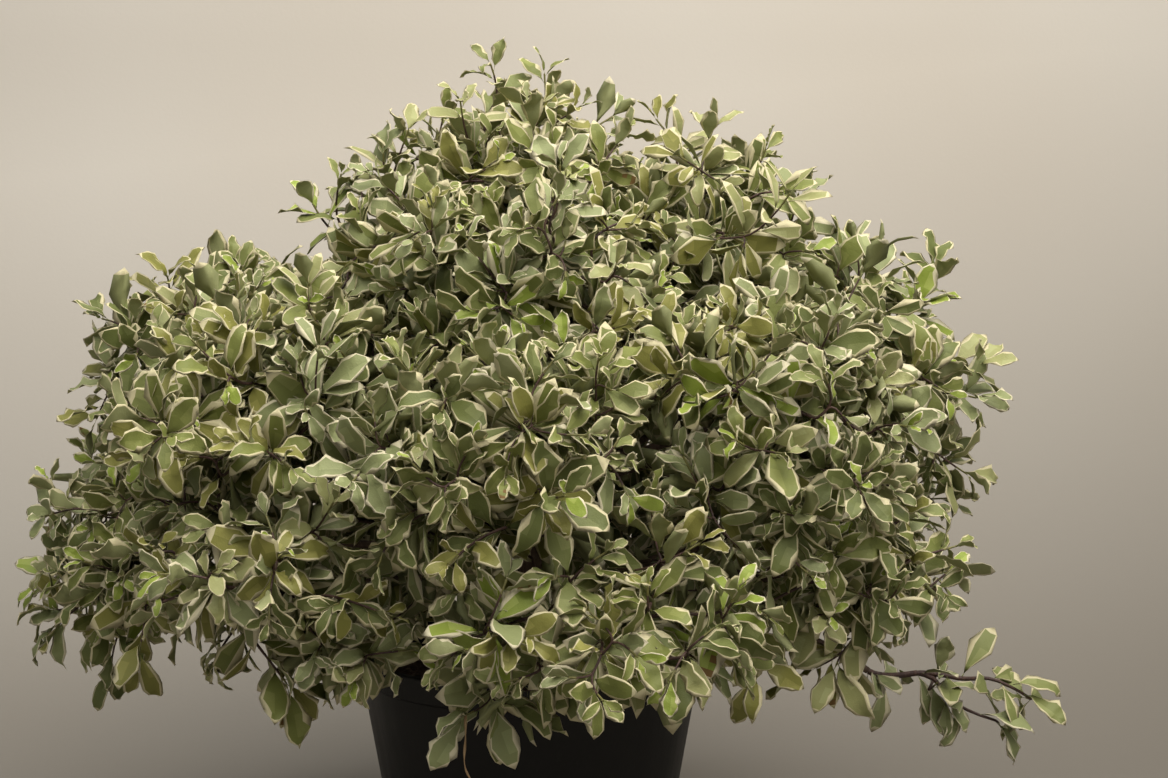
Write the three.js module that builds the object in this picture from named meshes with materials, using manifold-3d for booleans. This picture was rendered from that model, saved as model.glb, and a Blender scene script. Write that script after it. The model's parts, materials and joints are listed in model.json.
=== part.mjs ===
// Potted silver queen pittosporum: a bushy, spreading young shrub in a round black nursery pot.
// Millimetres, +Z up, with the front of the shrub towards -Y and +X to its right.
// The origin is the middle of the pot's flat underside.
import * as THREE from "three";
import { mergeVertices } from "three/addons/utils/BufferGeometryUtils.js";
import Module from "manifold-3d";

const wasm = await Module();
wasm.setup();

const UP = new THREE.Vector3(0, 0, 1);
const RIGHT = new THREE.Vector3(1, 0, 0);
const CLEARANCE = 0.3; // left between any two neighbouring solids
const GOLDEN_ANGLE = Math.PI * (3 - Math.sqrt(5));
const MERGE_WITHIN = 1e-3; // vertices closer than this are one
const PLACE_DECIMALS = [3, 4]; // a fused mass stays sound when its places are rounded to these
const SLIVER = 0.05; // edges shorter than this are closed up after a join

// The whole plant's reach to its furthest leaf tips, which no leaf passes.
const REACH = new THREE.Box3(new THREE.Vector3(-416, -390, 0), new THREE.Vector3(434, 390, 712));

// The pot is a tapered plastic container with a thickened band under its lip and holes round its floor.
const POT = {
  height: 225,
  baseRadius: 101,
  lipRadius: 140,
  wall: 2.2,
  floor: 3,
  bandHeight: 22,
  bandProud: 4,
  foot: 2,
  sides: 32,
};
const DRAIN = { count: 6, radius: 8, ring: 74, sides: 6 };
// The soil is mounded a little towards the stem, and lies this much clear of the pot's wall.
const SOIL = { edgeDepth: 28, crown: 6, flatRadius: 32, wallGap: 0.4 };

// The main stem leans a little back and left as it rises, and its foot flares into the soil.
const STEM = {
  height: 296,
  lean: new THREE.Vector3(-14, 6, 0),
  bow: new THREE.Vector3(9, -5, 0),
  footRadius: 19,
  flareHeight: 26,
  flareRing: 0.4,
  lowRadius: 12.5,
  tipRadius: 4,
  sides: 8,
  steps: 7,
};
// Each bough runs from the stem to just short of its mass's core.
const BOUGH = {
  forkRadius: 4.1,
  tipRadius: 2.7,
  sides: 5,
  steps: 4,
  stemGap: 0.4,
  seatShare: 1.1,
  samples: 40,
};

// Twigs split in two from each mass's stem until each ends in one leafy shoot.
const TWIG = {
  sides: 3,
  forkShare: 0.42,
  taper: 0.92,
  tipRadius: 1.1,
  wander: 7,
  bend: 0.3,
  sunk: [0.6, 1.1],
  stemGap: 0.35,
  steps: 1,
  limbGap: 1.2,
  potGap: 4,
};
// The crown is dense, so each lobe has a faceted core that its twigs and leaves stand out of.
// share is of the lobe's size outwards, sideways and upwards.
const CORE = { share: [0.68, 1.02, 0.96], jitter: 0.1, cellMargin: 3, limbGap: 0.6, drawIn: 0.06 };
// Shoot tips stand this share of the way inside the mass's outline, which their leaves then reach.
const SHOOT = { tries: 24, triesOpen: 7, inset: 0.38, jitter: 0.24, leastOutward: -0.12, cellMargin: 6 };
// Leaves are few and larger than life, because the real shrub has some thousands. leastShare keeps those
// that a core would hide from being made, and apart is the least distance between the middles and tips of
// any two.
const LEAF = {
  perShoot: 5,
  length: 88,
  lengthOpen: 60,
  lengthSpread: 0.15,
  widthShare: 0.46,
  thickShare: 0.018,
  firstShare: 0.42,
  lastShare: 0.95,
  lowSpread: THREE.MathUtils.degToRad(74),
  highSpread: THREE.MathUtils.degToRad(26),
  skyward: 0.6,
  fold: 0.05,
  droop: 0.12,
  apart: 20,
  leastShare: 0.94,
  reach: 0.82,
  cellMargin: 0.4,
  limbGap: 3,
};
// Outline of half a leaf, as shares of its length along and of its half width across.
const LEAF_OUTLINE = [
  [0.34, 0.78],
  [0.68, 0.94],
];

// The crown's lobes, each one mass of foliage. bearing is in degrees from +X towards the back, out and
// height place the middle, size is half the lobe outwards, sideways and upwards, and fork is the height
// where its bough leaves the stem. arch lifts the middle of the bough, leaders are the places that its
// outermost leaf tips reach, and an open mass has no core. Shoots grow away from the heart of the crown.
const HEART = new THREE.Vector3(0, 0, 330);
const MASSES = [
  {
    name: "crown_peak", bearing: 180, out: 14, height: 588,
    size: [102, 108, 88], fork: null, arch: 0,
    leaders: [[-34, -8, 711], [18, 10, 704], [-84, 30, 668], [-60, -70, 672]],
  },
  {
    name: "crown_left", bearing: 186, out: 104, height: 526,
    size: [90, 104, 92], fork: 438, arch: -22,
    leaders: [[-197, -52, 604], [-146, 10, 622]],
  },
  {
    name: "crown_right", bearing: 2, out: 138, height: 544,
    size: [104, 106, 94], fork: 452, arch: -24,
    leaders: [[92, 14, 668], [146, -24, 662], [200, 6, 642], [230, -30, 598]],
  },
  {
    name: "crown_front", bearing: -86, out: 136, height: 506,
    size: [98, 112, 92], fork: 414, arch: -22,
    leaders: [[30, -170, 628]],
  },
  {
    name: "crown_back", bearing: 90, out: 134, height: 514,
    size: [98, 112, 92], fork: 424, arch: -22,
    leaders: [[48, 168, 636]],
  },
  {
    name: "shoulder_left", bearing: 180, out: 246, height: 442,
    size: [108, 106, 98], fork: 352, arch: -6,
    leaders: [[-364, -10, 500], [-296, -16, 543], [-238, 24, 552]],
  },
  {
    name: "shoulder_front_left", bearing: -136, out: 252, height: 412,
    size: [104, 106, 96], fork: 340, arch: 0,
    leaders: [],
  },
  {
    name: "shoulder_front", bearing: -92, out: 256, height: 398,
    size: [98, 104, 92], fork: 322, arch: 2,
    leaders: [],
  },
  {
    name: "shoulder_front_right", bearing: -47, out: 252, height: 416,
    size: [104, 106, 96], fork: 346, arch: 0,
    leaders: [],
  },
  {
    name: "shoulder_right", bearing: 1, out: 252, height: 430,
    size: [108, 106, 100], fork: 358, arch: -6,
    leaders: [[252, -14, 566], [288, -20, 540], [338, 12, 542], [380, -8, 456]],
  },
  {
    name: "shoulder_back_right", bearing: 46, out: 252, height: 416,
    size: [104, 106, 96], fork: 334, arch: 0,
    leaders: [[246, 252, 506]],
  },
  {
    name: "shoulder_back", bearing: 91, out: 256, height: 402,
    size: [100, 104, 92], fork: 316, arch: 2,
    leaders: [],
  },
  {
    name: "shoulder_back_left", bearing: 136, out: 252, height: 412,
    size: [104, 106, 96], fork: 328, arch: 0,
    leaders: [],
  },
  {
    name: "skirt_left", bearing: 181, out: 284, height: 320,
    size: [116, 114, 88], fork: 268, arch: 30,
    leaders: [
      [-414, -14, 264], [-404, 10, 328], [-374, 20, 392], [-340, -46, 190], [-398, -34, 228], [-374, 36, 212],
    ],
  },
  {
    name: "skirt_front_left", bearing: -128, out: 280, height: 322,
    size: [100, 116, 68], fork: 250, arch: 30,
    leaders: [[-238, -200, 228], [-156, -240, 222]],
  },
  {
    name: "skirt_front", bearing: -80, out: 280, height: 300,
    size: [98, 118, 72], fork: 236, arch: 34,
    leaders: [[-42, -300, 212]],
  },
  {
    name: "skirt_front_right", bearing: -31, out: 264, height: 312,
    size: [90, 106, 76], fork: 262, arch: 30,
    leaders: [[222, -192, 230]],
  },
  {
    name: "skirt_right", bearing: 18, out: 266, height: 312,
    size: [88, 106, 82], fork: 244, arch: 32,
    leaders: [[356, 50, 322], [338, 66, 252]],
  },
  {
    name: "skirt_back", bearing: 73, out: 278, height: 300,
    size: [102, 118, 80], fork: 256, arch: 34,
    leaders: [],
  },
  {
    name: "skirt_back_left", bearing: 127, out: 282, height: 302,
    size: [104, 118, 82], fork: 242, arch: 34,
    leaders: [[-252, 300, 204]],
  },
  {
    name: "low_spray_right", bearing: -7, out: 330, height: 206,
    size: [80, 56, 44], fork: 226, arch: 80, open: true,
    leaders: [[444, -46, 178], [404, -62, 144], [354, -36, 226], [328, -70, 152]],
  },
];

// The same seed always gives the same row of numbers from 0 to 1.
function seededRandom(seed) {
  let state = (seed * 2654435761) >>> 0;
  return () => {
    state = (Math.imul(state, 1664525) + 1013904223) >>> 0;
    return state / 4294967296;
  };
}

function potWallRadius(height) {
  return POT.baseRadius + ((POT.lipRadius - POT.baseRadius) * height) / POT.height;
}

// A shape's places and triangles, with shared vertices merged and flat triangles dropped.
function mergedMesh(geometry) {
  const bare = new THREE.BufferGeometry();
  const loose = geometry.index ? geometry.toNonIndexed() : geometry;
  bare.setAttribute("position", loose.getAttribute("position"));
  const merged = mergeVertices(bare, MERGE_WITHIN);
  const corners = merged.index.array;
  const kept = [];
  for (let i = 0; i < corners.length; i += 3) {
    const [a, b, c] = [corners[i], corners[i + 1], corners[i + 2]];
    if (a !== b && b !== c && a !== c) kept.push(a, b, c);
  }
  return { places: new Float32Array(merged.getAttribute("position").array), corners: new Uint32Array(kept) };
}

function solidFrom(geometry) {
  const { places, corners } = mergedMesh(geometry);
  return new wasm.Manifold(new wasm.Mesh({ numProp: 3, vertProperties: places, triVerts: corners }));
}

function geometryFrom(solid) {
  const mesh = solid.getMesh();
  const geometry = new THREE.BufferGeometry();
  const places = new Float32Array(mesh.numVert * 3);
  for (let i = 0; i < mesh.numVert; i++) {
    places.set(mesh.vertProperties.subarray(i * mesh.numProp, i * mesh.numProp + 3), i * 3);
  }
  geometry.setAttribute("position", new THREE.BufferAttribute(places, 3));
  geometry.setIndex(new THREE.BufferAttribute(new Uint32Array(mesh.triVerts), 1));
  geometry.computeVertexNormals();
  return geometry;
}

// The one body that matters: loose scraps and sealed hollows go.
function mainBody(solid) {
  return solid.decompose().reduce((best, body) => (body.volume() > best.volume() ? body : best));
}

// The same once short edges are closed up and its vertices are merged, which can pinch a scrap off.
function settled(solid) {
  return mainBody(solidFrom(geometryFrom(mainBody(solid.simplify(SLIVER)))));
}

// True where every edge has just one face on each side, also once its ends are rounded to this many decimals.
function isCleanlyClosed(solid, decimals) {
  const geometry = geometryFrom(solid);
  const spots = geometry.getAttribute("position");
  const corners = geometry.index.array;
  const place = (i) => [spots.getX(i), spots.getY(i), spots.getZ(i)].map((x) => x.toFixed(decimals)).join();
  const edges = new Map();
  for (let i = 0; i < corners.length; i += 3) {
    const [a, b, c] = [0, 1, 2].map((k) => place(corners[i + k]));
    for (const [from, to] of [[a, b], [b, c], [c, a]]) {
      if (from === to || edges.get(from)?.has(to)) return false;
      edges.set(from, (edges.get(from) ?? new Set()).add(to));
    }
  }
  return [...edges].every(([from, ends]) => [...ends].every((to) => edges.get(to)?.has(from)));
}

function turned(profile, sides) {
  const points = profile.map(([radius, height]) => new THREE.Vector2(radius, height));
  return new THREE.LatheGeometry(points, sides).rotateX(Math.PI / 2);
}

function closedShape(places, corners) {
  const geometry = new THREE.BufferGeometry();
  geometry.setAttribute("position", new THREE.Float32BufferAttribute(places, 3));
  geometry.setIndex(corners);
  return geometry;
}

// A closed shape from rings of vertices, each ring the same number of sides, from the first ring to the last.
function loft(places, sides) {
  const corners = [];
  const last = places.length / 3 - sides;
  for (let ring = 0; ring < last; ring += sides) {
    for (let side = 0; side < sides; side++) {
      const [a, b] = [ring + side, ring + ((side + 1) % sides)];
      corners.push(a, b, b + sides, a, b + sides, a + sides);
    }
  }
  for (let side = 1; side < sides - 1; side++) {
    corners.push(0, side + 1, side);
    corners.push(last, last + side, last + side + 1);
  }
  return closedShape(places, corners);
}

// A closed limb with flat sides along a curve, whose radius follows the share of the way along.
function limb(curve, radiusAt, steps, sides) {
  const frames = curve.computeFrenetFrames(steps);
  const places = [];
  for (let step = 0; step <= steps; step++) {
    const middle = curve.getPointAt(step / steps);
    for (let side = 0; side < sides; side++) {
      const angle = (2 * Math.PI * side) / sides;
      const spoke = frames.normals[step]
        .clone()
        .multiplyScalar(Math.cos(angle))
        .addScaledVector(frames.binormals[step], Math.sin(angle));
      places.push(...middle.clone().addScaledVector(spoke, radiusAt(step / steps)).toArray());
    }
  }
  return loft(places, sides);
}

function makePot() {
  const { height, baseRadius, wall, floor, bandHeight, bandProud, foot, sides } = POT;
  const bandLow = height - bandHeight;
  const profile = [
    [0, 0],
    [baseRadius - foot, 0],
    [potWallRadius(foot), foot],
    [potWallRadius(bandLow), bandLow],
    [potWallRadius(bandLow) + bandProud, bandLow + foot],
    [potWallRadius(height) + bandProud, height],
    [potWallRadius(height) - wall, height],
    [potWallRadius(floor) - wall, floor],
    [0, floor],
  ];
  let solid = solidFrom(turned(profile, sides));
  for (let hole = 0; hole < DRAIN.count; hole++) {
    const angle = (2 * Math.PI * (hole + 0.5)) / DRAIN.count;
    const drill = new THREE.CylinderGeometry(DRAIN.radius, DRAIN.radius, 4 * floor, DRAIN.sides)
      .rotateX(Math.PI / 2)
      .translate(DRAIN.ring * Math.cos(angle), DRAIN.ring * Math.sin(angle), floor / 2);
    solid = solid.subtract(solidFrom(drill));
  }
  return geometryFrom(solid);
}

const soilEdge = POT.height - SOIL.edgeDepth;
const soilTop = soilEdge + SOIL.crown;

function makeSoil() {
  const slack = POT.wall + SOIL.wallGap;
  const foot = POT.floor + CLEARANCE;
  return turned(
    [
      [0, foot],
      [potWallRadius(foot) - slack, foot],
      [potWallRadius(soilEdge) - slack, soilEdge],
      [SOIL.flatRadius, soilTop],
      [0, soilTop],
    ],
    POT.sides,
  );
}

const stemFoot = new THREE.Vector3(0, 0, soilTop + CLEARANCE);
const stemTip = stemFoot.clone().addScaledVector(UP, STEM.height).add(STEM.lean);
const stemMiddle = stemFoot.clone().lerp(stemTip, 0.5).add(STEM.bow);
const stemCurve = new THREE.QuadraticBezierCurve3(stemFoot, stemMiddle, stemTip);

function stemRadius(share) {
  const above = share * STEM.height;
  const taper = THREE.MathUtils.lerp(STEM.lowRadius, STEM.tipRadius, share);
  const flare = Math.max(0, 1 - above / STEM.flareHeight);
  return taper + (STEM.footRadius - STEM.lowRadius) * flare * flare;
}

// The foot's flare gets rings of its own below the even ones.
function makeStem(extra = 0) {
  const flareShare = STEM.flareHeight / STEM.height;
  const shares = [0, flareShare * STEM.flareRing, flareShare];
  for (let step = 1; step <= STEM.steps; step++) {
    shares.push(flareShare + ((1 - flareShare) * step) / STEM.steps);
  }
  const places = [];
  for (const share of shares) {
    const middle = stemCurve.getPoint(share);
    const radius = stemRadius(share) + extra;
    for (let side = 0; side < STEM.sides; side++) {
      const angle = (2 * Math.PI * side) / STEM.sides;
      places.push(middle.x + radius * Math.cos(angle), middle.y + radius * Math.sin(angle), middle.z);
    }
  }
  return loft(places, STEM.sides);
}

// Fills in each mass's middle, its own directions and its mean radius.
function placeMasses() {
  MASSES.forEach((mass, index) => {
    const bearing = THREE.MathUtils.degToRad(mass.bearing);
    mass.index = index;
    mass.outward = new THREE.Vector3(Math.cos(bearing), Math.sin(bearing), 0);
    mass.sideways = new THREE.Vector3(-Math.sin(bearing), Math.cos(bearing), 0);
    mass.middle = mass.outward.clone().multiplyScalar(mass.out).setZ(mass.height);
    mass.radius = (mass.size[0] + mass.size[1] + mass.size[2]) / 3;
    mass.away = mass.middle.clone().sub(HEART).normalize();
  });
}

// A place in a mass, from shares of its half sizes outwards, sideways and upwards.
function fromLobe(mass, outShare, sideShare, upShare) {
  const [out, side, up] = mass.size;
  return mass.middle
    .clone()
    .addScaledVector(mass.outward, outShare * out)
    .addScaledVector(mass.sideways, sideShare * side)
    .addScaledVector(UP, upShare * up);
}

// How far inside the mass's own share of the crown a point lies, in millimetres. Shares meet at flat faces.
function depthInCell(mass, point) {
  const reach = (m) => point.distanceToSquared(m.middle) - m.radius * m.radius;
  const own = reach(mass);
  let least = Infinity;
  for (const other of MASSES) {
    if (other === mass) continue;
    least = Math.min(least, (reach(other) - own) / (2 * other.middle.distanceTo(mass.middle)));
  }
  return least;
}

// 1 for a step from the mass's middle to its core's outline, less inside it.
function coreShare(mass, step) {
  const [out, side, up] = mass.size.map((half, axis) => half * CORE.share[axis]);
  return Math.hypot(step.dot(mass.outward) / out, step.dot(mass.sideways) / side, step.z / up);
}

// A bough ends just short of its mass's core.
function makeBoughCurve(mass) {
  const share = (mass.fork - stemFoot.z) / STEM.height;
  const fork = stemCurve.getPoint(share);
  const heading = mass.middle.clone().sub(fork).normalize();
  const seat = mass.middle.clone().addScaledVector(heading, -BOUGH.seatShare / coreShare(mass, heading));
  const bend = fork.clone().lerp(seat, 0.5).addScaledVector(UP, mass.arch);
  return new THREE.QuadraticBezierCurve3(fork, bend, seat);
}

function boughRadius(share) {
  return THREE.MathUtils.lerp(BOUGH.forkRadius, BOUGH.tipRadius, share);
}

// The open spray's leaves are hardly larger than life.
function leafLength(mass) {
  return mass.open ? LEAF.lengthOpen : LEAF.length;
}

// Evenly spread places of shoot tips on the lobe's outer side, by a golden spiral, then its leaders.
function shootTips(mass, count, draw) {
  const tips = [];
  for (let k = 0; k < count; k++) {
    const level = 1 - (2 * (k + 0.5)) / count;
    const round = Math.sqrt(1 - level * level);
    const turn = k * GOLDEN_ANGLE + mass.index;
    const wobble = [draw() - 0.5, draw() - 0.5, draw() - 0.5].map((x) => x * SHOOT.jitter);
    const depth = 1 - SHOOT.inset * (0.7 + 0.6 * draw());
    const spin = [round * Math.cos(turn), round * Math.sin(turn), level];
    const point = fromLobe(mass, ...spin.map((x, axis) => (x + wobble[axis]) * depth));
    const outward = point.clone().sub(mass.middle).dot(mass.away) / mass.radius;
    if (outward > SHOOT.leastOutward && depthInCell(mass, point) > SHOOT.cellMargin) tips.push(point);
  }
  for (const place of mass.leaders) {
    const leafTip = new THREE.Vector3(...place);
    const inward = mass.middle.clone().sub(leafTip).setLength(LEAF.reach * leafLength(mass));
    tips.push(leafTip.add(inward));
  }
  return tips;
}

// Splits the tips in two along the axis they spread over most.
function halves(tips) {
  const box = new THREE.Box3().setFromPoints(tips);
  const size = box.getSize(new THREE.Vector3());
  const axis = size.x >= size.y && size.x >= size.z ? "x" : size.y >= size.z ? "y" : "z";
  const sorted = [...tips].sort((a, b) => a[axis] - b[axis]);
  const middle = Math.ceil(sorted.length / 2);
  return [sorted.slice(0, middle), sorted.slice(middle)];
}

function centroid(points) {
  const sum = points.reduce((total, point) => total.add(point), new THREE.Vector3());
  return sum.divideScalar(points.length);
}

// The growing rule: a twig heads for the middle of its tips, forks, and each branch takes half of them.
function branch(from, heading, tips, radius, draw, twigs) {
  if (tips.length === 1) {
    const reach = from.distanceTo(tips[0]);
    const bend = from.clone().addScaledVector(heading, reach * TWIG.bend);
    const curve = new THREE.QuadraticBezierCurve3(from, bend, tips[0]);
    twigs.push({ curve, low: radius, high: TWIG.tipRadius, shoot: true });
    return;
  }
  const fork = from.clone().lerp(centroid(tips), TWIG.forkShare);
  fork.x += (draw() - 0.5) * TWIG.wander;
  fork.y += (draw() - 0.5) * TWIG.wander;
  fork.z += (draw() - 0.5) * TWIG.wander;
  const thinner = Math.max(TWIG.tipRadius, radius) * TWIG.taper;
  const bend = from.clone().addScaledVector(heading, from.distanceTo(fork) * TWIG.bend);
  const curve = new THREE.QuadraticBezierCurve3(from, bend, fork);
  twigs.push({ curve, low: radius, high: thinner, shoot: false });
  const onward = curve.getTangent(1);
  halves(tips).forEach((half, side) => {
    const root = fork.clone().addScaledVector(onward, -thinner * TWIG.sunk[side]);
    branch(root, onward, half, thinner * TWIG.taper, draw, twigs);
  });
}

function leafCorners(leaf) {
  const { base, along, face, length } = leaf;
  const across = face.clone().cross(along).normalize();
  const half = (length * LEAF.widthShare) / 2;
  const thick = length * LEAF.thickShare;
  const at = (share, side, lift) =>
    base
      .clone()
      .addScaledVector(along, share * length)
      .addScaledVector(across, side * half)
      .addScaledVector(face, lift - LEAF.droop * length * share * share);
  const edge = LEAF.fold * length;
  const left = LEAF_OUTLINE.map(([share, width]) => at(share, width, edge));
  const right = LEAF_OUTLINE.map(([share, width]) => at(share, -width, edge)).reverse();
  const rim = [base, ...left, at(1, 0, 0), ...right];
  return { rim, top: at(0.5, 0, thick / 2), bottom: at(0.5, 0, -thick / 2) };
}

// A thin leaf: a closed rim with one point above its middle and one below.
function makeLeaf(leaf) {
  const { rim, top, bottom } = leafCorners(leaf);
  const places = [...rim, top, bottom].flatMap((point) => point.toArray());
  const [above, below] = [rim.length, rim.length + 1];
  const corners = rim.flatMap((_, i) => {
    const next = (i + 1) % rim.length;
    return [next, i, above, i, next, below];
  });
  return closedShape(places, corners);
}

// Leaves stand round a shoot at the golden angle, wide below and closer to it at the tip, with their faces
// to the tip and the sky.
function leavesOn(twig, full, draw) {
  const leaves = [];
  let turn = draw() * 2 * Math.PI;
  for (let k = 0; k < LEAF.perShoot; k++) {
    const rise = k / (LEAF.perShoot - 1);
    const share = THREE.MathUtils.lerp(LEAF.firstShare, LEAF.lastShare, Math.sqrt(rise));
    const axis = twig.curve.getTangent(share).normalize();
    const level = axis.clone().cross(Math.abs(axis.z) < 0.9 ? UP : RIGHT).normalize();
    const spoke = level.applyAxisAngle(axis, turn);
    const spread = THREE.MathUtils.lerp(LEAF.lowSpread, LEAF.highSpread, rise);
    const along = axis.clone().multiplyScalar(Math.cos(spread)).addScaledVector(spoke, Math.sin(spread));
    const face = axis.clone().addScaledVector(UP, LEAF.skyward);
    face.addScaledVector(along, -face.dot(along)).normalize();
    const length = full * (1 + LEAF.lengthSpread * (2 * draw() - 1));
    const base = twig.curve.getPoint(0).lerp(twig.curve.getPoint(1), share);
    leaves.push({ base, along, face, length });
    turn += GOLDEN_ANGLE;
  }
  return leaves;
}

function nearestLimb(points, limbs) {
  let least = Infinity;
  for (const { samples, radius } of limbs) {
    for (const sample of samples) {
      for (const point of points) least = Math.min(least, point.distanceTo(sample) - radius);
    }
  }
  return least;
}

function sampled(curve, radius) {
  return { samples: curve.getPoints(BOUGH.samples), radius };
}

function isClearOfPot(point) {
  const aside = Math.hypot(point.x, point.y) - POT.lipRadius - POT.bandProud;
  return point.z - POT.height > TWIG.potGap || aside > TWIG.potGap;
}

// The lobe's dark middle: a jittered faceted ball, drawn in where its neighbours' shares begin.
function makeCore(mass, draw) {
  const ball = new THREE.IcosahedronGeometry(1, 0);
  const loose = ball.getAttribute("position");
  const moved = new Map();
  for (let i = 0; i < loose.count; i++) {
    const corner = new THREE.Vector3().fromBufferAttribute(loose, i);
    const key = corner.toArray().map((x) => x.toFixed(4)).join();
    if (!moved.has(key)) {
      corner.multiplyScalar(1 + (draw() - 0.5) * 2 * CORE.jitter);
      const point = fromLobe(mass, ...corner.toArray().map((x, axis) => x * CORE.share[axis]));
      while (depthInCell(mass, point) < CORE.cellMargin) point.lerp(mass.middle, CORE.drawIn);
      moved.set(key, point);
    }
    loose.setXYZ(i, ...moved.get(key).toArray());
  }
  return solidFrom(ball);
}

// Joins the pieces one by one, clear of the limbs, and skips each that would leave a pinched edge.
function fused(pieces, limbCutter) {
  const [first, ...others] = pieces.map((piece) => piece.subtract(limbCutter));
  let body = settled(first);
  for (const piece of others) {
    const joined = settled(body.add(piece));
    if (PLACE_DECIMALS.every((decimals) => isCleanlyClosed(joined, decimals))) body = joined;
  }
  return body;
}

// A leaf is made where it shows, within its mass's share and the plant's reach, clear of limbs, pot and
// other leaves.
function hasRoom(leaf, mass, limbs, taken) {
  const { rim, top } = leafCorners(leaf);
  const shown = mass.open || coreShare(mass, top.clone().sub(mass.middle)) > LEAF.leastShare;
  if (!shown || nearestLimb([...rim.slice(1), top], limbs) < LEAF.limbGap) return false;
  const spots = leafSpots(leaf);
  return (
    rim.every((point) => depthInCell(mass, point) > LEAF.cellMargin) &&
    rim.every((point) => isClearOfPot(point) && REACH.containsPoint(point)) &&
    taken.every((spot) => spots.every((own) => own.distanceTo(spot) > LEAF.apart))
  );
}

function leafSpots(leaf) {
  return [leafCorners(leaf).top, leaf.base.clone().addScaledVector(leaf.along, leaf.length)];
}

function hasShootRoom(twig, limbs) {
  const points = twig.curve.getPoints(6).slice(1);
  return nearestLimb(points, limbs) > twig.low + TWIG.limbGap && points.every(isClearOfPot);
}

// Twigs from the bough's tip to every shoot, round the core, with leaves on the shoots.
function growMass(mass, limbs, limbCutter) {
  const draw = seededRandom(mass.index + 1);
  const leafDraw = seededRandom(mass.index + 101);
  const twigs = [];
  const start = mass.seat.clone().addScaledVector(mass.heading, TWIG.stemGap);
  const tries = mass.open ? SHOOT.triesOpen : SHOOT.tries;
  branch(start, mass.heading, shootTips(mass, tries, draw), BOUGH.tipRadius, draw, twigs);
  const solids = mass.open ? [] : [makeCore(mass, draw)];
  const leaves = [];
  const taken = [];
  for (const twig of twigs) {
    if (twig.shoot && !hasShootRoom(twig, limbs)) continue;
    const radiusAt = (share) => THREE.MathUtils.lerp(twig.low, twig.high, share);
    solids.push(solidFrom(limb(twig.curve, radiusAt, TWIG.steps, TWIG.sides)));
    if (!twig.shoot) continue;
    for (const leaf of leavesOn(twig, leafLength(mass), leafDraw)) {
      if (!hasRoom(leaf, mass, limbs, taken)) continue;
      taken.push(...leafSpots(leaf));
      leaves.push(solidFrom(makeLeaf(leaf)));
    }
  }
  return geometryFrom(fused([...solids, ...leaves], limbCutter));
}

const MATERIALS = {
  pot: new THREE.MeshStandardMaterial({ color: 0x18181a, roughness: 0.5, metalness: 0 }),
  soil: new THREE.MeshStandardMaterial({ color: 0x2e2218, roughness: 1, metalness: 0 }),
  bark: new THREE.MeshStandardMaterial({ color: 0x3a2a26, roughness: 0.8, metalness: 0 }),
  foliage: new THREE.MeshStandardMaterial({ color: 0x8a9066, roughness: 0.55, metalness: 0 }),
};

const shrub = new THREE.Group();

function add(name, geometry, material) {
  const mesh = new THREE.Mesh(geometry, material);
  mesh.name = name;
  shrub.add(mesh);
}

placeMasses();
add("pot", makePot(), MATERIALS.pot);
add("soil", makeSoil(), MATERIALS.soil);
add("main_stem", makeStem(), MATERIALS.bark);

const stemCutter = solidFrom(makeStem(BOUGH.stemGap));
const limbs = [sampled(stemCurve, STEM.lowRadius)];
const limbCutters = [solidFrom(makeStem(CORE.limbGap))];
for (const mass of MASSES) {
  if (mass.fork === null) {
    mass.seat = stemTip;
    mass.heading = stemCurve.getTangent(1);
    continue;
  }
  const curve = makeBoughCurve(mass);
  mass.seat = curve.getPoint(1);
  mass.heading = curve.getTangent(1);
  const bough = solidFrom(limb(curve, boughRadius, BOUGH.steps, BOUGH.sides)).subtract(stemCutter);
  add("bough_" + mass.name, geometryFrom(mainBody(bough)), MATERIALS.bark);
  limbs.push(sampled(curve, BOUGH.forkRadius));
  const inflated = (share) => boughRadius(share) + CORE.limbGap;
  limbCutters.push(solidFrom(limb(curve, inflated, BOUGH.steps, BOUGH.sides)));
}
const limbCutter = wasm.Manifold.union(limbCutters);
for (const mass of MASSES) {
  add("foliage_" + mass.name, growMass(mass, limbs, limbCutter), MATERIALS.foliage);
}

export default shrub;
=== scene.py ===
# Potted silver queen pittosporum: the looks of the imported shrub, its pot and its soil.
# Blender works in metres and the growing rule in millimetres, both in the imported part's frame.
import json
import math
from functools import cache

import bmesh
import bpy
from bpy.props import FloatProperty, FloatVectorProperty, IntProperty, PointerProperty
from mathutils import Matrix, Vector, noise
from mathutils.kdtree import KDTree

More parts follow.
